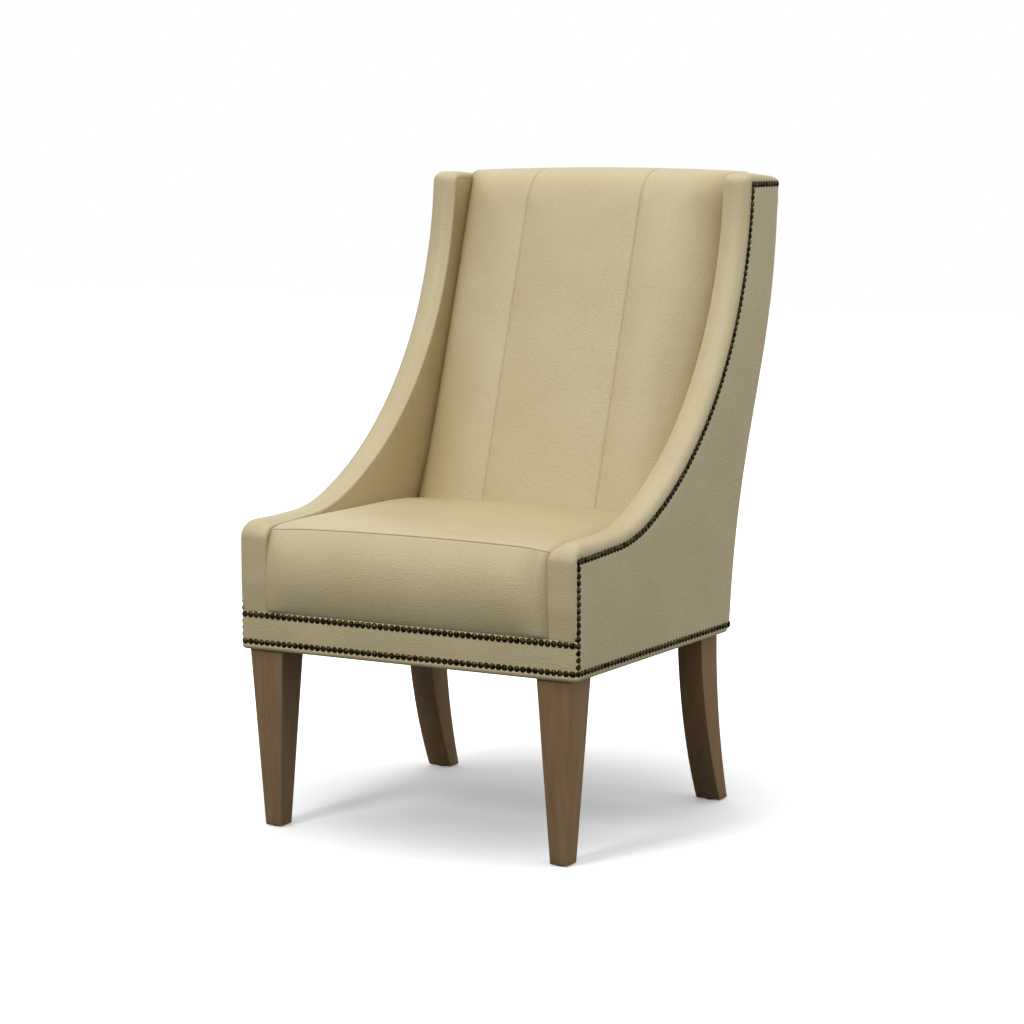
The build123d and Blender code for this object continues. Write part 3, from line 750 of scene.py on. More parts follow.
@dataclass
class Arm(Part):
    """One padded arm and wing, in a leather cover with a sewn inner edge."""

    side: Side
    edge: float = 0.0040  # radius of the sewn inner edge
    top_edge: float = 0.0090  # that radius along the wing's top
    outer_round: float = 0.0200  # width that the outer edge rounds over
    front_round: float = 0.0110  # that width at the arm's front
    crown: float = 0.0055  # how much the band swells between its edges
    hump: float = 0.9  # how much more it swells just behind the arm's front
    hump_run: float = 0.06  # how far back that reaches
    swell: float = 0.0036  # how far the outer roll swells over the nails
    front_swell: float = 0.0028  # how far that roll swells at the arm's front
    stand: float = 0.0045  # how far the arm's front stands before the apron
    stand_run: float = 0.05  # height over the apron where it does so in full
    foot_tuck: float = 0.004  # how far its foot is drawn in at the apron
    squeeze: float = 0.0035  # how far the front's inner edge leans over the seat
    stitch: float = 0.0045  # distance of the seam from the inner edge
    seam_shade: float = 0.2  # darkness of the seam
    top_run: float = 0.012  # height in which the crest becomes the wing's top
    rear_run: float = 0.09  # length in which the wing's top comes down at the rear
    rear_drop: float = 0.005  # how far it comes down

    @staticmethod
    def core() -> Array:
        """Line deep in the arm that the section closes on, point for point with the crest.

        Returns:
            Points as depth and height, straight between marks at numbers of the crest's points.
        """
        marks = [0, 24, 36, 52, 68, 84, 100, 116, 132, 137, 147, 165, 173, 177]
        depth = [0.028, 0.034, 0.055, 0.15, 0.265, 0.47, 0.59, 0.67, 0.70, 0.703, 0.708, 0.718, 0.722, 0.722]
        height = [0.375, 0.395, 0.40, 0.40, 0.40, 0.45, 0.64, 0.83, 1.00, 1.02, 1.045, 1.058, 1.060, 1.062]
        along = np.arange(marks[-1] + 1)
        return stacked(np.interp(along, marks, depth), np.interp(along, marks, height))

    def section(self) -> Array:
        """Section across the arm, from the core up the inside, over the band and down the outside.

        Returns:
            Ten rows with a column for each station: width, share of the edge radius and of the
            outer rounding in the width, inset from the crest, share of the edge radius in the
            inset, share of the way to the nails, share towards the core, share of the outer
            swell, lean over the seat, and depth in the seam.
        """
        inner, outer = self.lines.inner_half, self.lines.half_width
        low = self.stitch + 0.003
        rows = []
        for deep in (1.0, 0.7, 0.4, 0.2, 0.08, 0.02):
            rows.append((inner, 0, 0, low, 1, 0, deep, 0, 1 - deep, 0))
        for shift, sewn in ((0.0016, 0), (0.0005, 0.2), (0, 1), (-0.0005, 0.2), (-0.0016, 0)):
            rows.append((inner + 0.0010 * sewn, 0, 0, self.stitch + shift, 1, 0, 0, 0, 1, sewn))
        for a in quarter(5):
            rows.append((inner, 1 - math.cos(a), 0, 0, 1 - math.sin(a), 0, 0, 0, 1, 0))
        for s in np.linspace(0, 1, 9)[1:]:
            bow = -self.crown * math.sin(0.62 * math.pi * s)
            rows.append((inner + (outer - inner) * s, 1 - s, -s, bow, 0, 0, 0, 0, 1 - s, 0))
        for a in quarter(11)[1:]:
            puff = 2.6 * math.sin(a) ** 2 * math.cos(a)
            turned = 1 - math.cos(a)
            rows.append((outer, 0, math.sin(a) - 1, bow * math.cos(a), 0, turned, 0, puff, 0, 0))
        for tuck, deep in ((0.0015, 0.03), (0.0015, 0.08), (0.0035, 0.2), (0.0035, 0.5), (0.0035, 1.0)):
            rows.append((outer - tuck, 0, 0, 0, 0, 1, deep, 0, 0, 0))
        return np.array(rows, float).T[:, None]

    def build(self) -> None:
        """Carries the section along the crest and closes both ends.

        A point is crest + normal * inset + (nails - crest) * share, moved out by the swell and
        then drawn to the core: (1 - deep) p + deep * core.
        """
        lines, word = self.lines, self.side.word
        crest, normal = lines.crest()
        depth, height = crest[:, :1], crest[:, 1:]
        across, edge_x, round_x, inset, edge_in, share, deep, puff, lean, sewn = self.section()
        over_apron = height - lines.frame_top
        ahead = np.clip(normal[:, :1], 0, 1) * (depth < lines.arm_corner)
        foot = 1 - ease((over_apron + 0.006) / 0.007)
        stand = self.stand * np.clip(over_apron / self.stand_run, 0, 1) - self.foot_tuck * foot
        hump = np.exp(-((depth / self.hump_run) ** 2)) * (1 - ahead)
        top = ease((height - lines.back_height + self.top_run) / self.top_run)
        thicker = top + 3 * ahead * (1 - ahead) + 0.3 * ahead
        edge = self.edge + (self.top_edge - self.edge) * thicker
        behind = ease((depth - lines.back_top + self.rear_run) / self.rear_run)
        crest = crest - np.array([0.0, self.rear_drop]) * top * behind
        rounded = self.outer_round + (self.front_round - self.outer_round) * ahead
        roll = (self.swell + (self.front_swell - self.swell) * ahead) * puff
        roll = roll * ease((over_apron + 0.004) / 0.02)
        tilt = np.arccos(np.clip(1 - share, 0, 1))
        front = stand * ahead * np.cos(tilt) * (1 - deep)
        fuller = (1 - 0.5 * ahead) * (1 - 0.8 * top) * (1 + self.hump * hump)
        bow = np.where(inset < 0, inset * fuller, inset)
        moved = bow + edge_in * edge - front - roll * np.cos(tilt)
        to_nails = (lines.nail_line() - crest)[:, None] * share[..., None]
        flat = crest[:, None] + normal[:, None] * moved[..., None] + to_nails
        flat = flat * (1 - deep[..., None]) + self.core()[:, None] * deep[..., None]
        width = across + edge_x * edge + round_x * rounded + roll * np.sin(tilt)
        width = width - self.squeeze * ahead * lean
        points = lines.place(self.side.value * width, flat[..., 0], flat[..., 1])
        nodes = (f"arm_cover_{word}", f"arm_pad_{word}")
        # painted shade along the inner edge's seam
        self.pad(f"arm_{word}", points, self.seam_shade * sewn, Fill.FIRM, *nodes)


@dataclass
class Seat(Part):
    """Padded seat: crowned top panel, front seam and a bulging front border."""

    half: float = 0.2715  # half of its width between the arms
    bottom: float = 0.3680  # height of the lower edge, behind the upper nails
    seam: float = 0.5147  # height of the front seam in the middle
    seam_sag: float = 0.005  # how much lower the seam is at the arms
    seam_shade: float = 0.32  # darkness of the seam
    bulge: float = 0.0150  # how far the border stands before the apron
    arc: float = 0.130  # radius of its upright curve
    belly: float = 0.42  # share of its height where it stands furthest forward
    tuck: float = 0.0025  # how far its lower edge is drawn in
    hidden: float = 0.003  # least depth of that edge behind the apron's face
    border: int = 24  # points up the border
    corner: float = 0.0265  # length that the front corners round over
    recess: float = 0.022  # depth that they are drawn in by
    flat_start: float = 0.205  # width where the border starts to flatten towards them
    flat_run: float = 0.06  # width in which it flattens
    side_round: float = 0.016  # radius of the top's side edges
    crown: float = 0.006  # rise of the top from its sides to the middle
    roll: float = 0.0080  # rise of the top just behind the seam
    dome: float = 0.0020  # its further rise from front to middle
    sink: float = 0.006  # how far it comes down under the back
    rear: float = 0.530  # depth where it ends under the back

    def columns(self) -> Array:
        """Widths of the columns, closer together towards the rounded ends."""
        knots = [0.0, self.half - self.corner, self.half - 0.005, self.half]
        return mirrored(spread(knots, [26, 7, 6]))

    def build(self) -> None:
        """Carries the side profile across the width, then swells it.

        With t from 0 at the foot to 1 at the seam, the border is a circle's arc that stands bulge
        before the apron at its belly, and tucks in by tuck (1 - 4t)^2 at the foot; the top rises
        by 1 - exp(-depth), domes as a sine and crowns as 1 - (x / half)^2.
        """
        across = self.columns()[:, None]
        outwards = (across / self.half) ** 2
        drawn = self.recess / self.corner * rounding(across, self.half - self.corner, self.corner)
        drop = rounding(across, self.half - self.side_round, self.side_round)
        seam_height = self.seam - self.seam_sag * outwards - drop

        even = np.linspace(0, 1, self.border)[None]
        share = (even + (1 - np.cos(np.pi * even)) / 2) / 2
        rise = (share - self.belly) * (self.seam - self.bottom)
        arc = self.arc - np.sqrt(self.arc**2 - rise**2)
        under = self.tuck * np.clip(1 - share / 0.25, 0, 1) ** 2
        flatter = 1 - (0.65 - 0.15 * share) * ease((np.abs(across) - self.flat_start) / self.flat_run)
        border_depth = drawn - self.bulge + (arc + under) * flatter
        behind = np.maximum(self.hidden - border_depth, 0) * ease(1 - share / 0.05)
        border_depth = border_depth + behind
        border_height = self.bottom + (seam_height - self.bottom) * share

        edge = border_depth[:, -1:]
        groove_depth = edge + np.array([[0.0004, 0.0026, 0.0016]])
        groove_height = seam_height + np.array([[-0.0002, 0.0004, 0.0016]])

        back = spread([0.0022, 0.012, 0.06, 0.42, self.rear], [3, 8, 34, 6])[None]
        rise = self.roll * (1 - np.exp(-back / 0.018))
        rise = rise + self.dome * np.sin(np.pi * np.clip(back / 0.50, 0, 1))
        sink = self.sink * ease((back - 0.43) / 0.05)
        settle = 0.8 + 0.2 * (1 - np.exp(-back / 0.05))
        top_depth = back + edge * np.exp(-back / 0.07)
        top_height = self.seam + 0.0014 - self.crown * outwards * settle - drop + rise - sink

        low = self.bottom
        under_depth = np.array([[self.rear, self.rear, 0.38, 0.2, 0.05, 0.014]]) + 0 * across
        under_height = np.array([[0.47, low + 0.02, low, low, low, low]]) + 0 * across
        depth = np.hstack([border_depth, groove_depth, top_depth, under_depth])
        height = np.hstack([border_height, groove_height, top_height, under_height])
        points = self.lines.place(across, depth, height)

        # painted shade along the front seam
        crease = np.zeros(depth.shape)
        crease[3:-3, self.border + 1] = self.seam_shade
        held = np.ones(depth.shape, bool)
        held[3:-3, 3 : self.border - 3] = False
        held[3:-3, self.border + 10 : -14] = False
        self.pad("seat", points, crease, Fill.TIGHT, "seat_cover", "seat_foam", held=held)


@dataclass
class InsideBack(Part):
    """Padded inside back, sewn from three panels, that rolls over the top."""

    half: float = 0.2725  # half of its width between the wings
    foot: float = 0.44  # height of its lower edge, under the seat
    front: float = 0.440  # depth of its face at the height of the arms
    lean: float = 17.3  # lean of its face in degrees
    crown: float = 0.014  # how far the middle stands before the sides
    side_round: tuple[float, float] = (0.037, 0.055)  # depth of the side rounding, low and high
    side_start: float = 0.189  # width where that rounding starts
    deepening: float = 0.11  # height in which it deepens
    top: float = 1.1040  # height of the middle of the top
    top_drop: float = 0.0060  # how much lower the top is at the wings
    top_round: float = 0.020  # width in which the top rounds down at the wings
    roll: float = 0.080  # radius of the roll over the top
    fold: float = 0.009  # radius of its rear top edge
    seam: float = 0.113  # width of the two seams from the middle
    seam_shade: float = 0.2  # darkness of the seams
    groove: float = 0.0024  # depth of the seams
    groove_width: float = 0.0011  # half of their width

    def columns(self) -> Array:
        """Widths of the columns, closer together at the seams and the sides."""
        near = [self.seam + shift for shift in (-0.010, -0.0035, -0.0010, 0, 0.0010, 0.0035, 0.010)]
        return mirrored(spread([0.0, *near, 0.190, 0.255, self.half], [11, 1, 1, 1, 1, 1, 1, 8, 11, 7]))

    def profile(self) -> tuple[Array, Array, Array]:
        """Side view up the face, round the roll and back over the top.

        Returns:
            Depths, heights, and how far each point has turned from face to top, 0 to 1.
        """
        lean = math.radians(self.lean)
        turn = math.pi / 2 - lean
        face_top = self.top - self.roll * math.tan(turn / 2) * math.cos(lean)
        face = np.linspace(self.foot, face_top, 84)
        face_depth = self.front + (face - self.lines.arm_height) * math.tan(lean)
        angle = turn * np.linspace(0, 1, 15)[1:]
        middle = face_depth[-1] + self.roll * math.cos(lean)
        roll_depth = middle - self.roll * np.cos(lean + angle)
        roll_height = self.top - self.roll + self.roll * np.sin(lean + angle)
        fold_start = self.lines.back_top - self.fold
        over = np.linspace(middle, fold_start, 9)[1:]
        bend = quarter(7)[1:]
        fold_height = self.top - self.fold + self.fold * np.cos(bend)
        depth = [face_depth, roll_depth, over, fold_start + self.fold * np.sin(bend)]
        height = [face, roll_height, np.full(len(over), self.top), fold_height]
        turned = [np.zeros(len(face)), angle / turn, np.ones(len(over) + len(bend))]
        return np.concatenate(depth)[None], np.concatenate(height)[None], np.concatenate(turned)[None]

    def build(self) -> None:
        """Carries the side profile across the width, then swells the panels between seams.

        The face is set back by crown (x / half)^2 plus a side rounding e^2 that deepens with
        height as 1 - exp(-height); over the roll the set back fades and the top drops instead.
        """
        across = self.columns()[:, None]
        outwards = (across / self.half) ** 2
        depth, height, turned = self.profile()
        edge = np.clip((np.abs(across) - self.side_start) / (self.half - self.side_start), 0, 1)
        low, high = self.side_round
        over_arm = np.clip(height - self.lines.arm_height, 0, 1)
        side_round = low + (high - low) * (1 - np.exp(-over_arm / self.deepening))
        set_back = self.crown * outwards + side_round * edge**2
        sewn = np.exp(-(((np.abs(across) - self.seam) / self.groove_width) ** 2))
        lowered = self.top_drop * outwards
        lowered = lowered + 0.55 * rounding(across, self.half - self.top_round, self.top_round)
        front_depth = depth + (set_back + self.groove * sewn) * np.cos(turned * math.pi / 2)
        front_height = height - (lowered + self.groove * sewn) * np.sin(turned * math.pi / 2)
        rear = self.lines.back_top
        rear_depth = np.array([[rear, rear - 0.006, 0.70, 0.62, 0.55, 0.52]]) + 0 * across
        rear_height = np.array([[1.076, 1.068, 1.02, 0.80, 0.60, 0.47]]) + 0 * across
        depths = np.hstack([front_depth, rear_depth])
        points = self.lines.place(across, depths, np.hstack([front_height, rear_height]))
        held = np.ones(depths.shape, bool)
        held[5:-5, 6:-22] = False
        held[np.abs(np.abs(across[:, 0]) - self.seam) < 0.0015] = True
        nodes = ("inside_back_left", "inside_back_centre", "inside_back_right", "back_foam")
        # painted shade along the two seams
        self.pad("inside_back", points, self.seam_shade * sewn, Fill.TIGHT, *nodes, held=held)


@dataclass
class OuterSide(Part):
    """Leather side panel, from the nails along the crest to a rolled lower and rear edge."""

    side: Side
    roll: float = 0.004  # radius of the turned edges
    turned: float = 0.007  # how far the leather runs on behind them
    bead: float = 0.0012  # height of the soft bead along the lower edge
    swell: float = 0.0010  # how far the panel swells in the middle
    sunk: float = 0.0015  # how far its upper edge lies under the arm's cover
    over_nails: float = 0.002  # how far that edge lies over the line of the nails
    column_top: float = 0.022  # where it starts, below the height of the arm

    def upper(self) -> Array:
        """Edge just over the crest nails, from the front column to the rear corner.

        Returns:
            Points as depth and height.
        """
        line, _ = self.lines.crest()
        nails = self.lines.nail_line()
        up = line - nails
        up = up / np.maximum(np.linalg.norm(up, axis=1, keepdims=True), 0.004)
        start = int(np.argmax(line[:, 1] > self.lines.arm_height - self.column_top))
        return (nails + self.over_nails * up)[start:]

    def lower(self, count: int) -> tuple[Array, Array]:
        """Edge along the bottom and up the back, with the directions that point out of it.

        Args:
            count: Points along the edge.

        Returns:
            Points as depth and height, and outward directions.
        """
        lines = self.lines
        bottom = stacked(np.linspace(0.006, lines.apron_depth - 0.008, 40), lines.leg_height + self.roll)
        height = np.linspace(lines.leg_height + 0.012, lines.back_height - 0.02, 70)
        rear = stacked(lines.back_depth(height) - self.roll, height)
        line = evenly(np.vstack([bottom, rear]), count)
        way = np.gradient(line, axis=0)
        way /= np.linalg.norm(way, axis=1, keepdims=True)
        return line, stacked(way[:, 1], -way[:, 0])

    def build(self) -> None:
        """Rules the panel between its edges and rolls the lower and rear edge inwards.

        The flat part is lower (1 - t) + upper t. The roll turns by an angle a: out by
        radius sin a, in by radius (1 - cos a).
        """
        upper = self.upper()
        lower, out = self.lower(len(upper))
        turn = np.radians(np.linspace(90, 0, 6))[None, :, None]
        rolled = lower[:, None] + out[:, None] * self.roll * np.sin(turn)
        rolled_in = self.roll * (1 - np.cos(turn))[..., 0] + 0 * lower[:, :1]
        share = np.concatenate([[0.012, 0.03, 0.06], np.linspace(0.1, 1, 22)])[None, :, None]
        flat = lower[:, None] * (1 - share) + upper[:, None] * share
        line = np.concatenate([rolled[:, :1], rolled, flat], axis=1)
        swell = self.swell * np.sin(np.pi * np.clip(share[..., 0], 0, 1)) * np.ones((len(upper), 1))
        swell[:, -1] -= self.sunk
        bead = self.bead * np.exp(-(((flat[..., 1] - self.lines.leg_height - 0.004) / 0.003) ** 2))
        set_in = np.hstack([rolled_in[:, :1] + self.turned, rolled_in, -(swell + bead)])
        across = self.side.value * (self.lines.half_width - set_in)
        points = self.lines.place(across, line[..., 0], line[..., 1])
        if self.side is Side.RIGHT:
            points = points[:, ::-1]
        word = self.side.word
        self.panel(f"outer_side_panel_{word}", points, f"outer_side_{word}")


@dataclass
class OuterBack(Part):
    """Leather outer back, laid between the turned edges of the side panels."""

    half: float = 0.3115  # half of its width
    puff: float = 0.0035  # how far the panel swells off the frame
    edge: float = 0.006  # radius of its sewn edges
    clear: float = 0.001  # how far it lies off the back line

    def build(self) -> None:
        """A sheet over the back line that swells by puff (1 - u^10) (1 - w^24).

        Across and up the panel, u and w go from -1 to 1. All its edges round down.
        """
        lines = self.lines
        u = mirrored(np.concatenate([np.linspace(-0.9, 0.9, 37)[18:], np.linspace(0.94, 1, 6)]))[:, None]
        v = np.concatenate([np.linspace(0, 0.03, 6), np.linspace(0.05, 0.95, 70), np.linspace(0.97, 1, 8)])
        foot, top = lines.leg_height + 0.0015, lines.wing_row + 0.0035
        height = foot + (top - foot) * v[None] + 0 * u
        swell = self.puff * (1 - np.abs(u) ** 10) * (1 - np.abs(2 * v[None] - 1) ** 24)
        tuck = rounding(u * self.half, self.half - self.edge, self.edge)
        tuck = tuck + rounding((v[None] - 0.5) * (top - foot), (top - foot) / 2 - self.edge, self.edge)
        depth = lines.back_depth(height) + swell - tuck + self.clear
        points = lines.place(u * self.half, depth, height)
        self.panel("outer_back_panel", points[::-1], "outer_back", "outer_back_padding")


@dataclass
class Apron(Part):
    """Leather band across the front, between two rows of nails, with a rolled lower lip."""

    corner: float = 0.005  # radius of the front corners
    returned: float = 0.011  # depth that it runs back along the sides
    lip: float = 0.003  # radius of the rolled lower edge
    turned: float = 0.008  # how far the leather runs in under it
    bead: float = 0.0014  # height of the bead above the roll
    swell: float = 0.0008  # how far the band swells between the nails
    rises: tuple[float, ...] = (0.004, 0.0055, 0.007, 0.009, 0.012, 0.02, 0.035, 0.05, 0.0605, 0.0635)

    def build(self) -> None:
        """Carries the upright profile along a plan line that turns both front corners.

        Plan corners are quarter circles, the lower lip is another, and the bead is a bell curve.
        """
        half, r, base = self.lines.half_width, self.corner, self.lines.leg_height
        turn = quarter(8)
        face = stacked(np.linspace(0, half - r, 40)[:-1], 0.0)
        corner = stacked(half - r + r * np.sin(turn), r - r * np.cos(turn))
        right = np.vstack([face, corner, [[half, self.returned]]])
        ahead = np.tile([0.0, -1.0], (len(face), 1))
        right_out = np.vstack([ahead, stacked(np.sin(turn), -np.cos(turn)), [[1.0, 0.0]]])
        flip = np.array([-1.0, 1.0])
        plan, out = mirrored(right, flip), mirrored(right_out, flip)
        angle = np.radians(np.linspace(-90, 0, 6))
        lip_height = base + self.lip + self.lip * np.sin(angle)
        height = np.concatenate([lip_height[:1], lip_height, base + np.array(self.rises)])
        stand = np.concatenate([[-self.turned], self.lip * (np.cos(angle) - 1), np.zeros(len(self.rises))])
        stand = stand + self.bead * np.exp(-(((height - base - 0.0045) / 0.0028) ** 2))
        stand = stand + self.swell * np.sin(np.pi * np.clip((height - 0.320) / 0.046, 0, 1))
        across = plan[:, :1] + out[:, :1] * stand[None]
        depth = plan[:, 1:] + out[:, 1:] * stand[None]
        self.panel("apron", self.lines.place(across, depth, height[None]), "apron_band", "apron_padding")


@dataclass
class NailTrim(Part):
    """Rows of domed nail heads."""

    head: float = 0.0125  # diameter of a head
    rise: float = 0.0043  # height of its dome
    pitch: float = 0.0111  # distance from nail to nail
    edge: float = 0.0055  # distance of the rows from the corners
    lower: float = 0.0115  # height of the lower row over the body's edge
    column_turn: float = 15.0  # degrees that the front columns turn forward
    front_stand: float = 0.0004  # how far the front rows stand off the apron
    side_stand: float = 0.0003  # how far the side rows stand off the panels
    back_stand: float = 0.0035  # how far the rear rows stand off the back line
    back_turn: float = 0.6  # degrees that the lower rear row leans beyond the rake
    segments: int = 10  # points round a head
    seed: int = 7  # start of the small uneven tilts
    tilt: float = 0.05  # their size

    def spots(self, *line: Array) -> Array:
        """Evenly spaced places along a line of points, both ends included."""
        points = np.vstack(line)
        return evenly(points, max(2, round(travelled(points)[-1] / self.pitch) + 1))

    def dome(self) -> tuple[Array, Array]:
        """One head: rings r = head/2 cos a at height rise sin a over a short skirt, and a top.

        Returns:
            Its points about the origin, facing +Z, and its quads.
        """
        turn = 2 * np.pi * np.arange(self.segments) / self.segments
        angle = np.radians([-6.0, 16.0, 40.0, 64.0])[:, None]
        radius = self.head / 2 * np.cos(angle)
        ring = stacked(radius * np.cos(turn), radius * np.sin(turn), self.rise * np.sin(angle))
        top = np.broadcast_to([0.0, 0.0, self.rise], ring[:1].shape)
        points = np.concatenate([ring, top])
        return points.reshape(-1, 3), Grid(points, loop=True).quads()

    def heads(self, name: str, centres: Array, facing: Array) -> None:
        """Copies the head to many places as one piece, each tilted a little.

        A point is centre + x u + y v + z n, where u, v and n are the place's own axes.

        Args:
            name: CAD node that the row stands for.
            centres: Places of the heads.
            facing: Directions that they face.
        """
        chance = np.random.default_rng(self.seed)
        count = len(centres)
        normal = facing + self.tilt * chance.standard_normal((count, 3))
        normal /= np.linalg.norm(normal, axis=1, keepdims=True)
        helper = np.where(np.abs(normal[:, 2:]) < 0.9, [[0.0, 0.0, 1.0]], [[1.0, 0.0, 0.0]])
        u = np.cross(helper, normal)
        u /= np.linalg.norm(u, axis=1, keepdims=True)
        axes = np.stack([u, np.cross(normal, u), normal], axis=1)
        shape, quads = self.dome()
        points = centres[:, None] + np.einsum("pk,nkc->npc", shape, axes)
        faces = (quads[None] + len(shape) * np.arange(count)[:, None, None]).reshape(-1, 4)
        mesh = bpy.data.meshes.new(name)
        mesh.from_pydata(points.reshape(-1, 3).tolist(), [], faces.tolist())
        mesh.validate()
        mesh.shade_smooth()
        self.add(f"{name}_domed", mesh, Slot.BRONZE, name)

    def build(self) -> None:
        """Sets the front, side and back rows."""
        lines = self.lines
        low, high = lines.leg_height + self.lower, lines.frame_top - self.edge
        half = lines.half_width - self.edge
        row = self.spots([[-half], [half]])
        across = np.concatenate([row, row])[:, 0]
        height = np.repeat([low, high], len(row))
        ahead = np.tile([0.0, -1.0, 0.0], (len(across), 1))
        self.heads("front_nails", lines.place(across, -self.front_stand, height), ahead)

        # Up the front column, along the sweep, over the wing's top, and along the lower edge
        crest, wing = lines.nail_line(), lines.wing_row
        arm = crest[lines.level :]
        fall = (arm[0, 0] - lines.nail_column) * math.tan(math.radians(lines.arm_slope))
        foot = np.array([lines.nail_column, low])
        start = np.array([lines.nail_column, arm[0, 1] - fall])
        corner = crest[int(np.argmax(crest[:, 1] >= wing - 1e-6))]
        column = self.spots(foot, start)
        curve = self.spots(start, arm[arm[:, 1] < wing - 1e-6], corner)
        top = self.spots(corner, [lines.back_top - self.edge, wing])
        bottom = self.spots(foot, [lines.apron_depth - self.edge, low])
        places = np.vstack([column, curve[1:], top[1:], bottom[1:]])
        turned = np.zeros(len(places))
        turned[: len(column)] = math.radians(self.column_turn)
        for side in Side:
            out = stacked(side.value * np.cos(turned), -np.sin(turned), 0.0)
            stand = side.value * (lines.half_width + self.side_stand)
            self.heads(f"side_nails_{side.word}", lines.place(stand, places[:, 0], places[:, 1]), out)

        height = np.repeat([low, wing], len(row))
        depth = lines.back_depth(height) + self.back_stand
        lean = np.repeat([math.radians(lines.back_rake + self.back_turn), 0.0], len(row))
        facing = stacked(0.0, np.cos(lean), -np.sin(lean))
        self.heads("back_nails", lines.place(across, depth, height), facing)


@dataclass
class Legs(Part):
    """Square tapered front legs and sabre rear legs with their back posts."""

    front_x: float = 0.275  # middle of the front legs from the chair's middle
    front_depth: float = 0.0381  # middle of the front legs behind the apron's face
    front_top: float = 0.065  # width of a front leg under the apron
    foot: float = 0.032  # width of a front leg at the floor
    rear_x: float = 0.2755  # middle of the rear legs
    rear_width: float = 0.047
    rear_back: float = 0.008  # how far the rear legs stand before the back line
    rear_top: float = 0.062  # depth of a rear leg under the body
    rear_foot: float = 0.030  # depth of a rear leg at the floor
    kick: float = 0.0484  # how far the rear feet reach back
    sweep: float = 3.0  # slant of the rear leg's front face at its top, in degrees
    post_lean: float = 2.0  # degrees that the post's front face leans more than its rear one
    glide: float = 0.002  # height of the glides
    ease_edge: float = 0.0018  # radius of the eased edges
    tip: float = 0.0015  # how far the very foot is drawn in
    tip_run: float = 0.002  # height in which it is

    def section(self, half_x: Array, half_y: Array) -> Array:
        """Rectangles with eased corners, one a row: quarter circles joined by straight sides.

        Args:
            half_x: Half widths.
            half_y: Half depths.

        Returns:
            Rows of points across and along.
        """
        turn = quarter(4)
        angle = np.concatenate([turn + corner * np.pi / 2 for corner in range(4)])
        sign_x = np.repeat([1, -1, -1, 1], 4)
        sign_y = np.repeat([1, 1, -1, -1], 4)
        x = sign_x * (half_x[:, None] - self.ease_edge) + self.ease_edge * np.cos(angle)
        y = sign_y * (half_y[:, None] - self.ease_edge) + self.ease_edge * np.sin(angle)
        return stacked(x, y)

    def carry(self, piece: str, node: str, x: float, sizes: tuple[Array, Array, Array, Array]) -> None:
        """Carries the eased section up a leg.

        Args:
            piece: Name of the piece.
            node: CAD node that it stands for.
            x: Middle of the leg across the chair.
            sizes: Heights, half widths, middle depths and half depths of the sections.
        """
        height, half_x, middle, half_y = sizes
        tip = self.tip * np.clip(1 - (height - self.glide) / self.tip_run, 0, 1) ** 2
        loop = self.section(half_x - tip, half_y - tip)
        points = self.lines.place(x + loop[..., 0], middle[:, None] + loop[..., 1], height[:, None])
        self.add(piece, Grid(points, loop=True, capped=True).mesh(piece), Slot.WOOD, node)

    def front(self, side: Side) -> None:
        """A straight taper from the foot to the apron, then a plain post inside it.

        Args:
            side: Side of the chair.
        """
        lines, node = self.lines, f"front_leg_{side.word}"
        knots = [self.glide, self.glide + self.tip_run, lines.leg_height, lines.frame_top - 0.006]
        height = spread(knots, [3, 24, 4])
        half = np.interp(height, [self.glide, lines.leg_height], [self.foot / 2, self.front_top / 2])
        middle = np.full(len(height), self.front_depth)
        self.carry(f"{node}_tapered", node, side.value * self.front_x, (height, half, middle, half))

    def rear_faces(self, height: Array) -> tuple[Array, Array]:
        """Depths of the front and rear faces: arcs below the body, the back's line above it.

        The rear arc starts plumb and the front arc at the sweep's slant; each goes through
        its end of the foot.

        Args:
            height: Heights above the floor.

        Returns:
            Front and rear depths.
        """
        lines = self.lines
        start_rear = lines.apron_depth - self.rear_back
        fall = lines.leg_height - self.glide
        rear_radius = (self.kick**2 + fall**2) / (2 * self.kick)
        below = np.clip(lines.leg_height - height, 0, fall)
        rear_leg = start_rear + rear_radius - np.sqrt(rear_radius**2 - below**2)
        start_front = start_rear - self.rear_top
        run = start_rear + self.kick - self.rear_foot - start_front
        slant = math.radians(self.sweep)
        front_radius = (run**2 + fall**2) / (2 * (run * math.cos(slant) - fall * math.sin(slant)))
        centre = start_front + front_radius * math.cos(slant)
        front_leg = centre - np.sqrt(front_radius**2 - (below + front_radius * math.sin(slant)) ** 2)
        front_post = lines.back_depth(height, -self.rear_back - self.rear_top, self.post_lean)
        rear_post = lines.back_depth(height, -self.rear_back)
        body = height > lines.leg_height
        return np.where(body, front_post, front_leg), np.where(body, rear_post, rear_leg)

    def rear(self, side: Side) -> None:
        """A sabre leg that carries on as the S-shaped post.

        Args:
            side: Side of the chair.
        """
        lines, node = self.lines, f"rear_leg_{side.word}"
        knots = [self.glide, self.glide + self.tip_run, lines.leg_height, lines.post_top]
        height = spread(knots, [3, 40, 50])
        front, rear = self.rear_faces(height)
        half = np.full(len(height), self.rear_width / 2)
        sizes = (height, half, (front + rear) / 2, (rear - front) / 2)
        self.carry(f"{node}_sabre", node, side.value * self.rear_x, sizes)

    def build(self) -> None:
        """Makes the four legs."""
        for side in Side:
            self.front(side)
            self.rear(side)


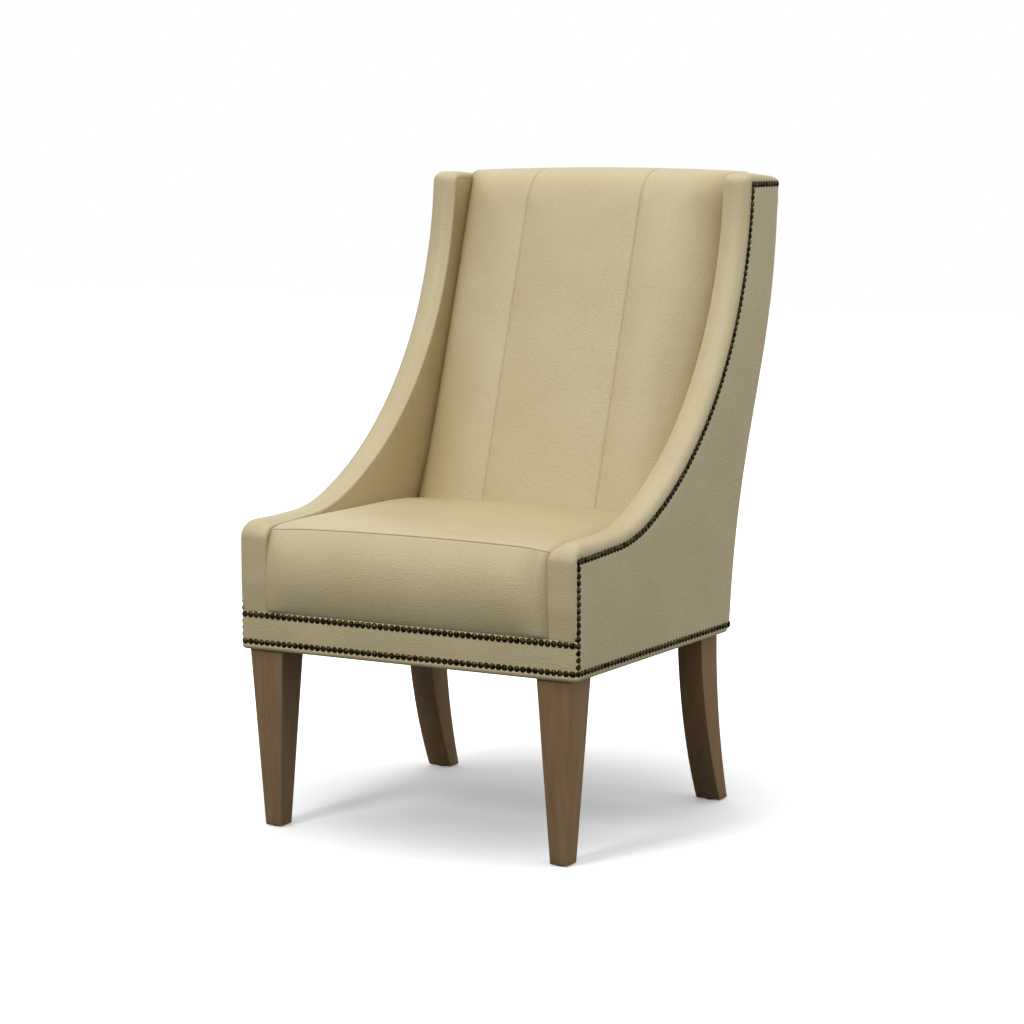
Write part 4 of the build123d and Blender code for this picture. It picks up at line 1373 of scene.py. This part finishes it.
@dataclass
class DustCover(Part):
    """Black cambric tacked under the rails, cut out round the legs."""

    half: float = 0.289  # half of its width
    front: float = 0.0156  # depth of its front edge
    rear: float = 0.539  # depth of its rear edge
    height: float = 0.3112  # height of its edges
    sag: float = 0.004  # how far the middle hangs
    front_cut: tuple[float, float] = (0.2405, 0.0726)  # width and depth of the front cut-outs' corners
    rear_cut: tuple[float, float] = (0.250, 0.486)  # width and depth of the rear ones' corners

    def build(self) -> None:
        """A flat sheet with z = height - sag (1 - u^2)(1 - v^2) and its corners left out."""
        x = mirrored(spread([0.0, self.front_cut[0], self.rear_cut[0], self.half], [14, 1, 4]))[:, None]
        d = spread([self.front, self.front_cut[1], self.rear_cut[1], self.rear], [4, 24, 4])[None]
        u, v = x / self.half, 2 * (d - self.front) / (self.rear - self.front) - 1
        height = self.height - self.sag * (1 - u**2) * (1 - v**2)
        middle_x = np.abs(x[1:] + x[:-1]) / 2
        middle_d = (d[:, 1:] + d[:, :-1]) / 2
        cut = (middle_x > self.front_cut[0]) & (middle_d < self.front_cut[1])
        cut |= (middle_x > self.rear_cut[0]) & (middle_d > self.rear_cut[1])
        mesh = Grid(self.lines.place(x, d, height), keep=~cut).mesh("dust_sheet")
        piece = self.add("dust_sheet", mesh, Slot.CLOTH, "dust_cover")


@dataclass
class HiddenFrame:
    """Finishes of the CAD pieces that stay as they are: rails, blocks, webbing and glides."""

    finishes: dict[str, bpy.types.Material]  # finish of each material slot

    def dress(self) -> None:
        """Gives every shown CAD node the finish of its material slot."""
        slots = {row["node"]: row["material_slot"] for row in frame["record"]["subparts"]}
        for name, node in frame["nodes"].items():
            if node.hide_render or slots[name] not in self.finishes:
                continue
            node.data.materials.clear()
            node.data.materials.append(self.finishes[slots[name]])
            LOG.info("%s keeps its CAD shape", name)


@dataclass(frozen=True)
class Lamp:
    """A square area lamp."""

    name: str
    place: Color  # where it hangs
    at: Color  # point that it faces
    size: float  # length of its sides
    watts: float


@dataclass
class Studio:
    """Camera, soft lamps, pale floor and white surroundings."""

    lines: SideLines
    azimuth: float = 29.95  # camera's turn round the chair in degrees
    elevation: float = 7.41  # camera's height over the horizon in degrees
    distance: float = 4.9717  # camera's distance from its target
    target_depth: float = 0.300  # depth of the target behind the apron's face
    target_height: float = 0.520
    lens: float = 102.44  # focal length on a 36 mm sensor
    shift: tuple[float, float] = (0.0155, 0.0022)  # shift of the frame across and up
    floor_half: float = 14.0  # half of the floor's sides
    floor_share: float = 0.12  # share of the floor's look that shows in gloss
    light: float = 0.37  # strength of the surroundings as light
    lamps: tuple[Lamp, ...] = (
        Lamp("overhead", (0.0, -0.1, 3.2), (0.0, -0.1, 0.0), size=5.0, watts=78.0),
        Lamp("front_key", (-0.6, -3.6, 3.0), (0.0, 0.0, 0.6), size=0.8, watts=62.0),
        Lamp("side_fill", (3.6, 0.3, 0.9), (0.0, 0.0, 0.6), size=1.4, watts=23.0),
    )

    @staticmethod
    def put(name: str, data: bpy.types.ID, place: Vector, way: Vector) -> bpy.types.Object:
        """Puts a lamp or camera in the scene.

        Args:
            name: Its name.
            data: Its data.
            place: Where it goes.
            way: Direction that it faces.

        Returns:
            The new object.
        """
        made = bpy.data.objects.new(name, data)
        bpy.context.scene.collection.objects.link(made)
        made.location = place
        made.rotation_mode = "QUATERNION"
        made.rotation_quaternion = way.to_track_quat("-Z", "Y")
        return made

    def camera(self) -> None:
        """Places the camera on its sphere round the target and looks at it."""
        turn, rise = math.radians(self.azimuth), math.radians(self.elevation)
        back = Vector((math.sin(turn) * math.cos(rise), -math.cos(turn) * math.cos(rise), math.sin(rise)))
        target = Vector((0.0, self.target_depth + self.lines.front_y, self.target_height))
        data = bpy.data.cameras.new("camera")
        data.lens = self.lens
        data.shift_x, data.shift_y = self.shift
        data.clip_end = 60.0
        bpy.context.scene.camera = self.put("camera", data, target + back * self.distance, -back)

    def floor(self) -> None:
        """A wide pale floor that shows white to the camera and keeps the shadow."""
        half = self.floor_half
        corners = [(-half, -half, 0), (half, -half, 0), (half, half, 0), (-half, half, 0)]
        mesh = bpy.data.meshes.new("floor")
        mesh.from_pydata(corners, [], [(0, 1, 2, 3)])
        made = bpy.data.objects.new("floor", mesh)
        bpy.context.scene.collection.objects.link(made)
        nodes = Nodes(bpy.data.materials.new("pale_floor"))
        seen = nodes.seen(self.floor_share)
        away = nodes.add("VectorMath", nodes.place, operation="LENGTH").outputs["Value"]
        glow = nodes.ranged(away, 0.17, 1.0, From_Min=0.3, From_Max=1.08)
        pale = nodes.shade(
            Base_Color=nodes.ranged(seen, 0.13, 0.95),
            Emission_Color=(1, 1, 1, 1),
            Emission_Strength=nodes.math("MULTIPLY", seen, glow),
            Roughness=0.9,
            Specular_IOR_Level=0.1,
        )
        mesh.materials.append(pale)

    def surroundings(self) -> None:
        """A white world: full white to the camera and in gloss, dimmer as light."""
        nodes = Nodes(bpy.data.worlds.new("white_studio"), "Background")
        level = nodes.ranged(nodes.seen(1.0), self.light, 1.0)
        bpy.context.scene.world = nodes.shade(Color=(1, 1, 1, 1), Strength=level)

    def build(self) -> None:
        """Sets up the whole studio."""
        bpy.context.scene.view_settings.view_transform = "Standard"
        self.camera()
        self.floor()
        self.surroundings()
        for lamp in self.lamps:
            data = bpy.data.lights.new(lamp.name, "AREA")
            data.shape = "SQUARE"
            data.size = lamp.size
            data.energy = lamp.watts
            self.put(lamp.name, data, Vector(lamp.place), Vector(lamp.at) - Vector(lamp.place))


def main() -> None:
    """Builds every piece of the chair and the studio round it."""
    logging.basicConfig(level=logging.INFO, format="%(name)s: %(message)s")
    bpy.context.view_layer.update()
    lines = SideLines(front_y=float(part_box("apron_band")[0].y))
    leather = LeatherFinish().material()
    wood = WoodFinish().material()
    bronze = BronzeFinish().material()
    cambric = WovenFinish("black_cambric", linear(44, 43, 44), linear(20, 20, 21), 1400.0).material()
    Seat(lines, leather).build()
    InsideBack(lines, leather).build()
    for side in Side:
        Arm(lines, leather, side).build()
        OuterSide(lines, leather, side).build()
    OuterBack(lines, leather).build()
    Apron(lines, leather).build()
    NailTrim(lines, bronze).build()
    Legs(lines, wood).build()
    DustCover(lines, cambric).build()
    hidden = {
        "frame_wood": WoodFinish("frame_timber", linear(196, 164, 120), linear(160, 126, 86), 0.6, "X"),
        "webbing": WovenFinish("jute_webbing", linear(150, 122, 86), linear(92, 70, 46), 500.0),
        "bolt_steel": PlainFinish("zinc_steel", (0.56, 0.56, 0.58), 1.0, 0.36),
        "glide_nylon": PlainFinish("black_nylon", linear(38, 36, 34), 0.0, 0.55),
    }
    HiddenFrame({slot: finish.material() for slot, finish in hidden.items()}).dress()
    Studio(lines).build()


if __name__ == "__main__":
    main()
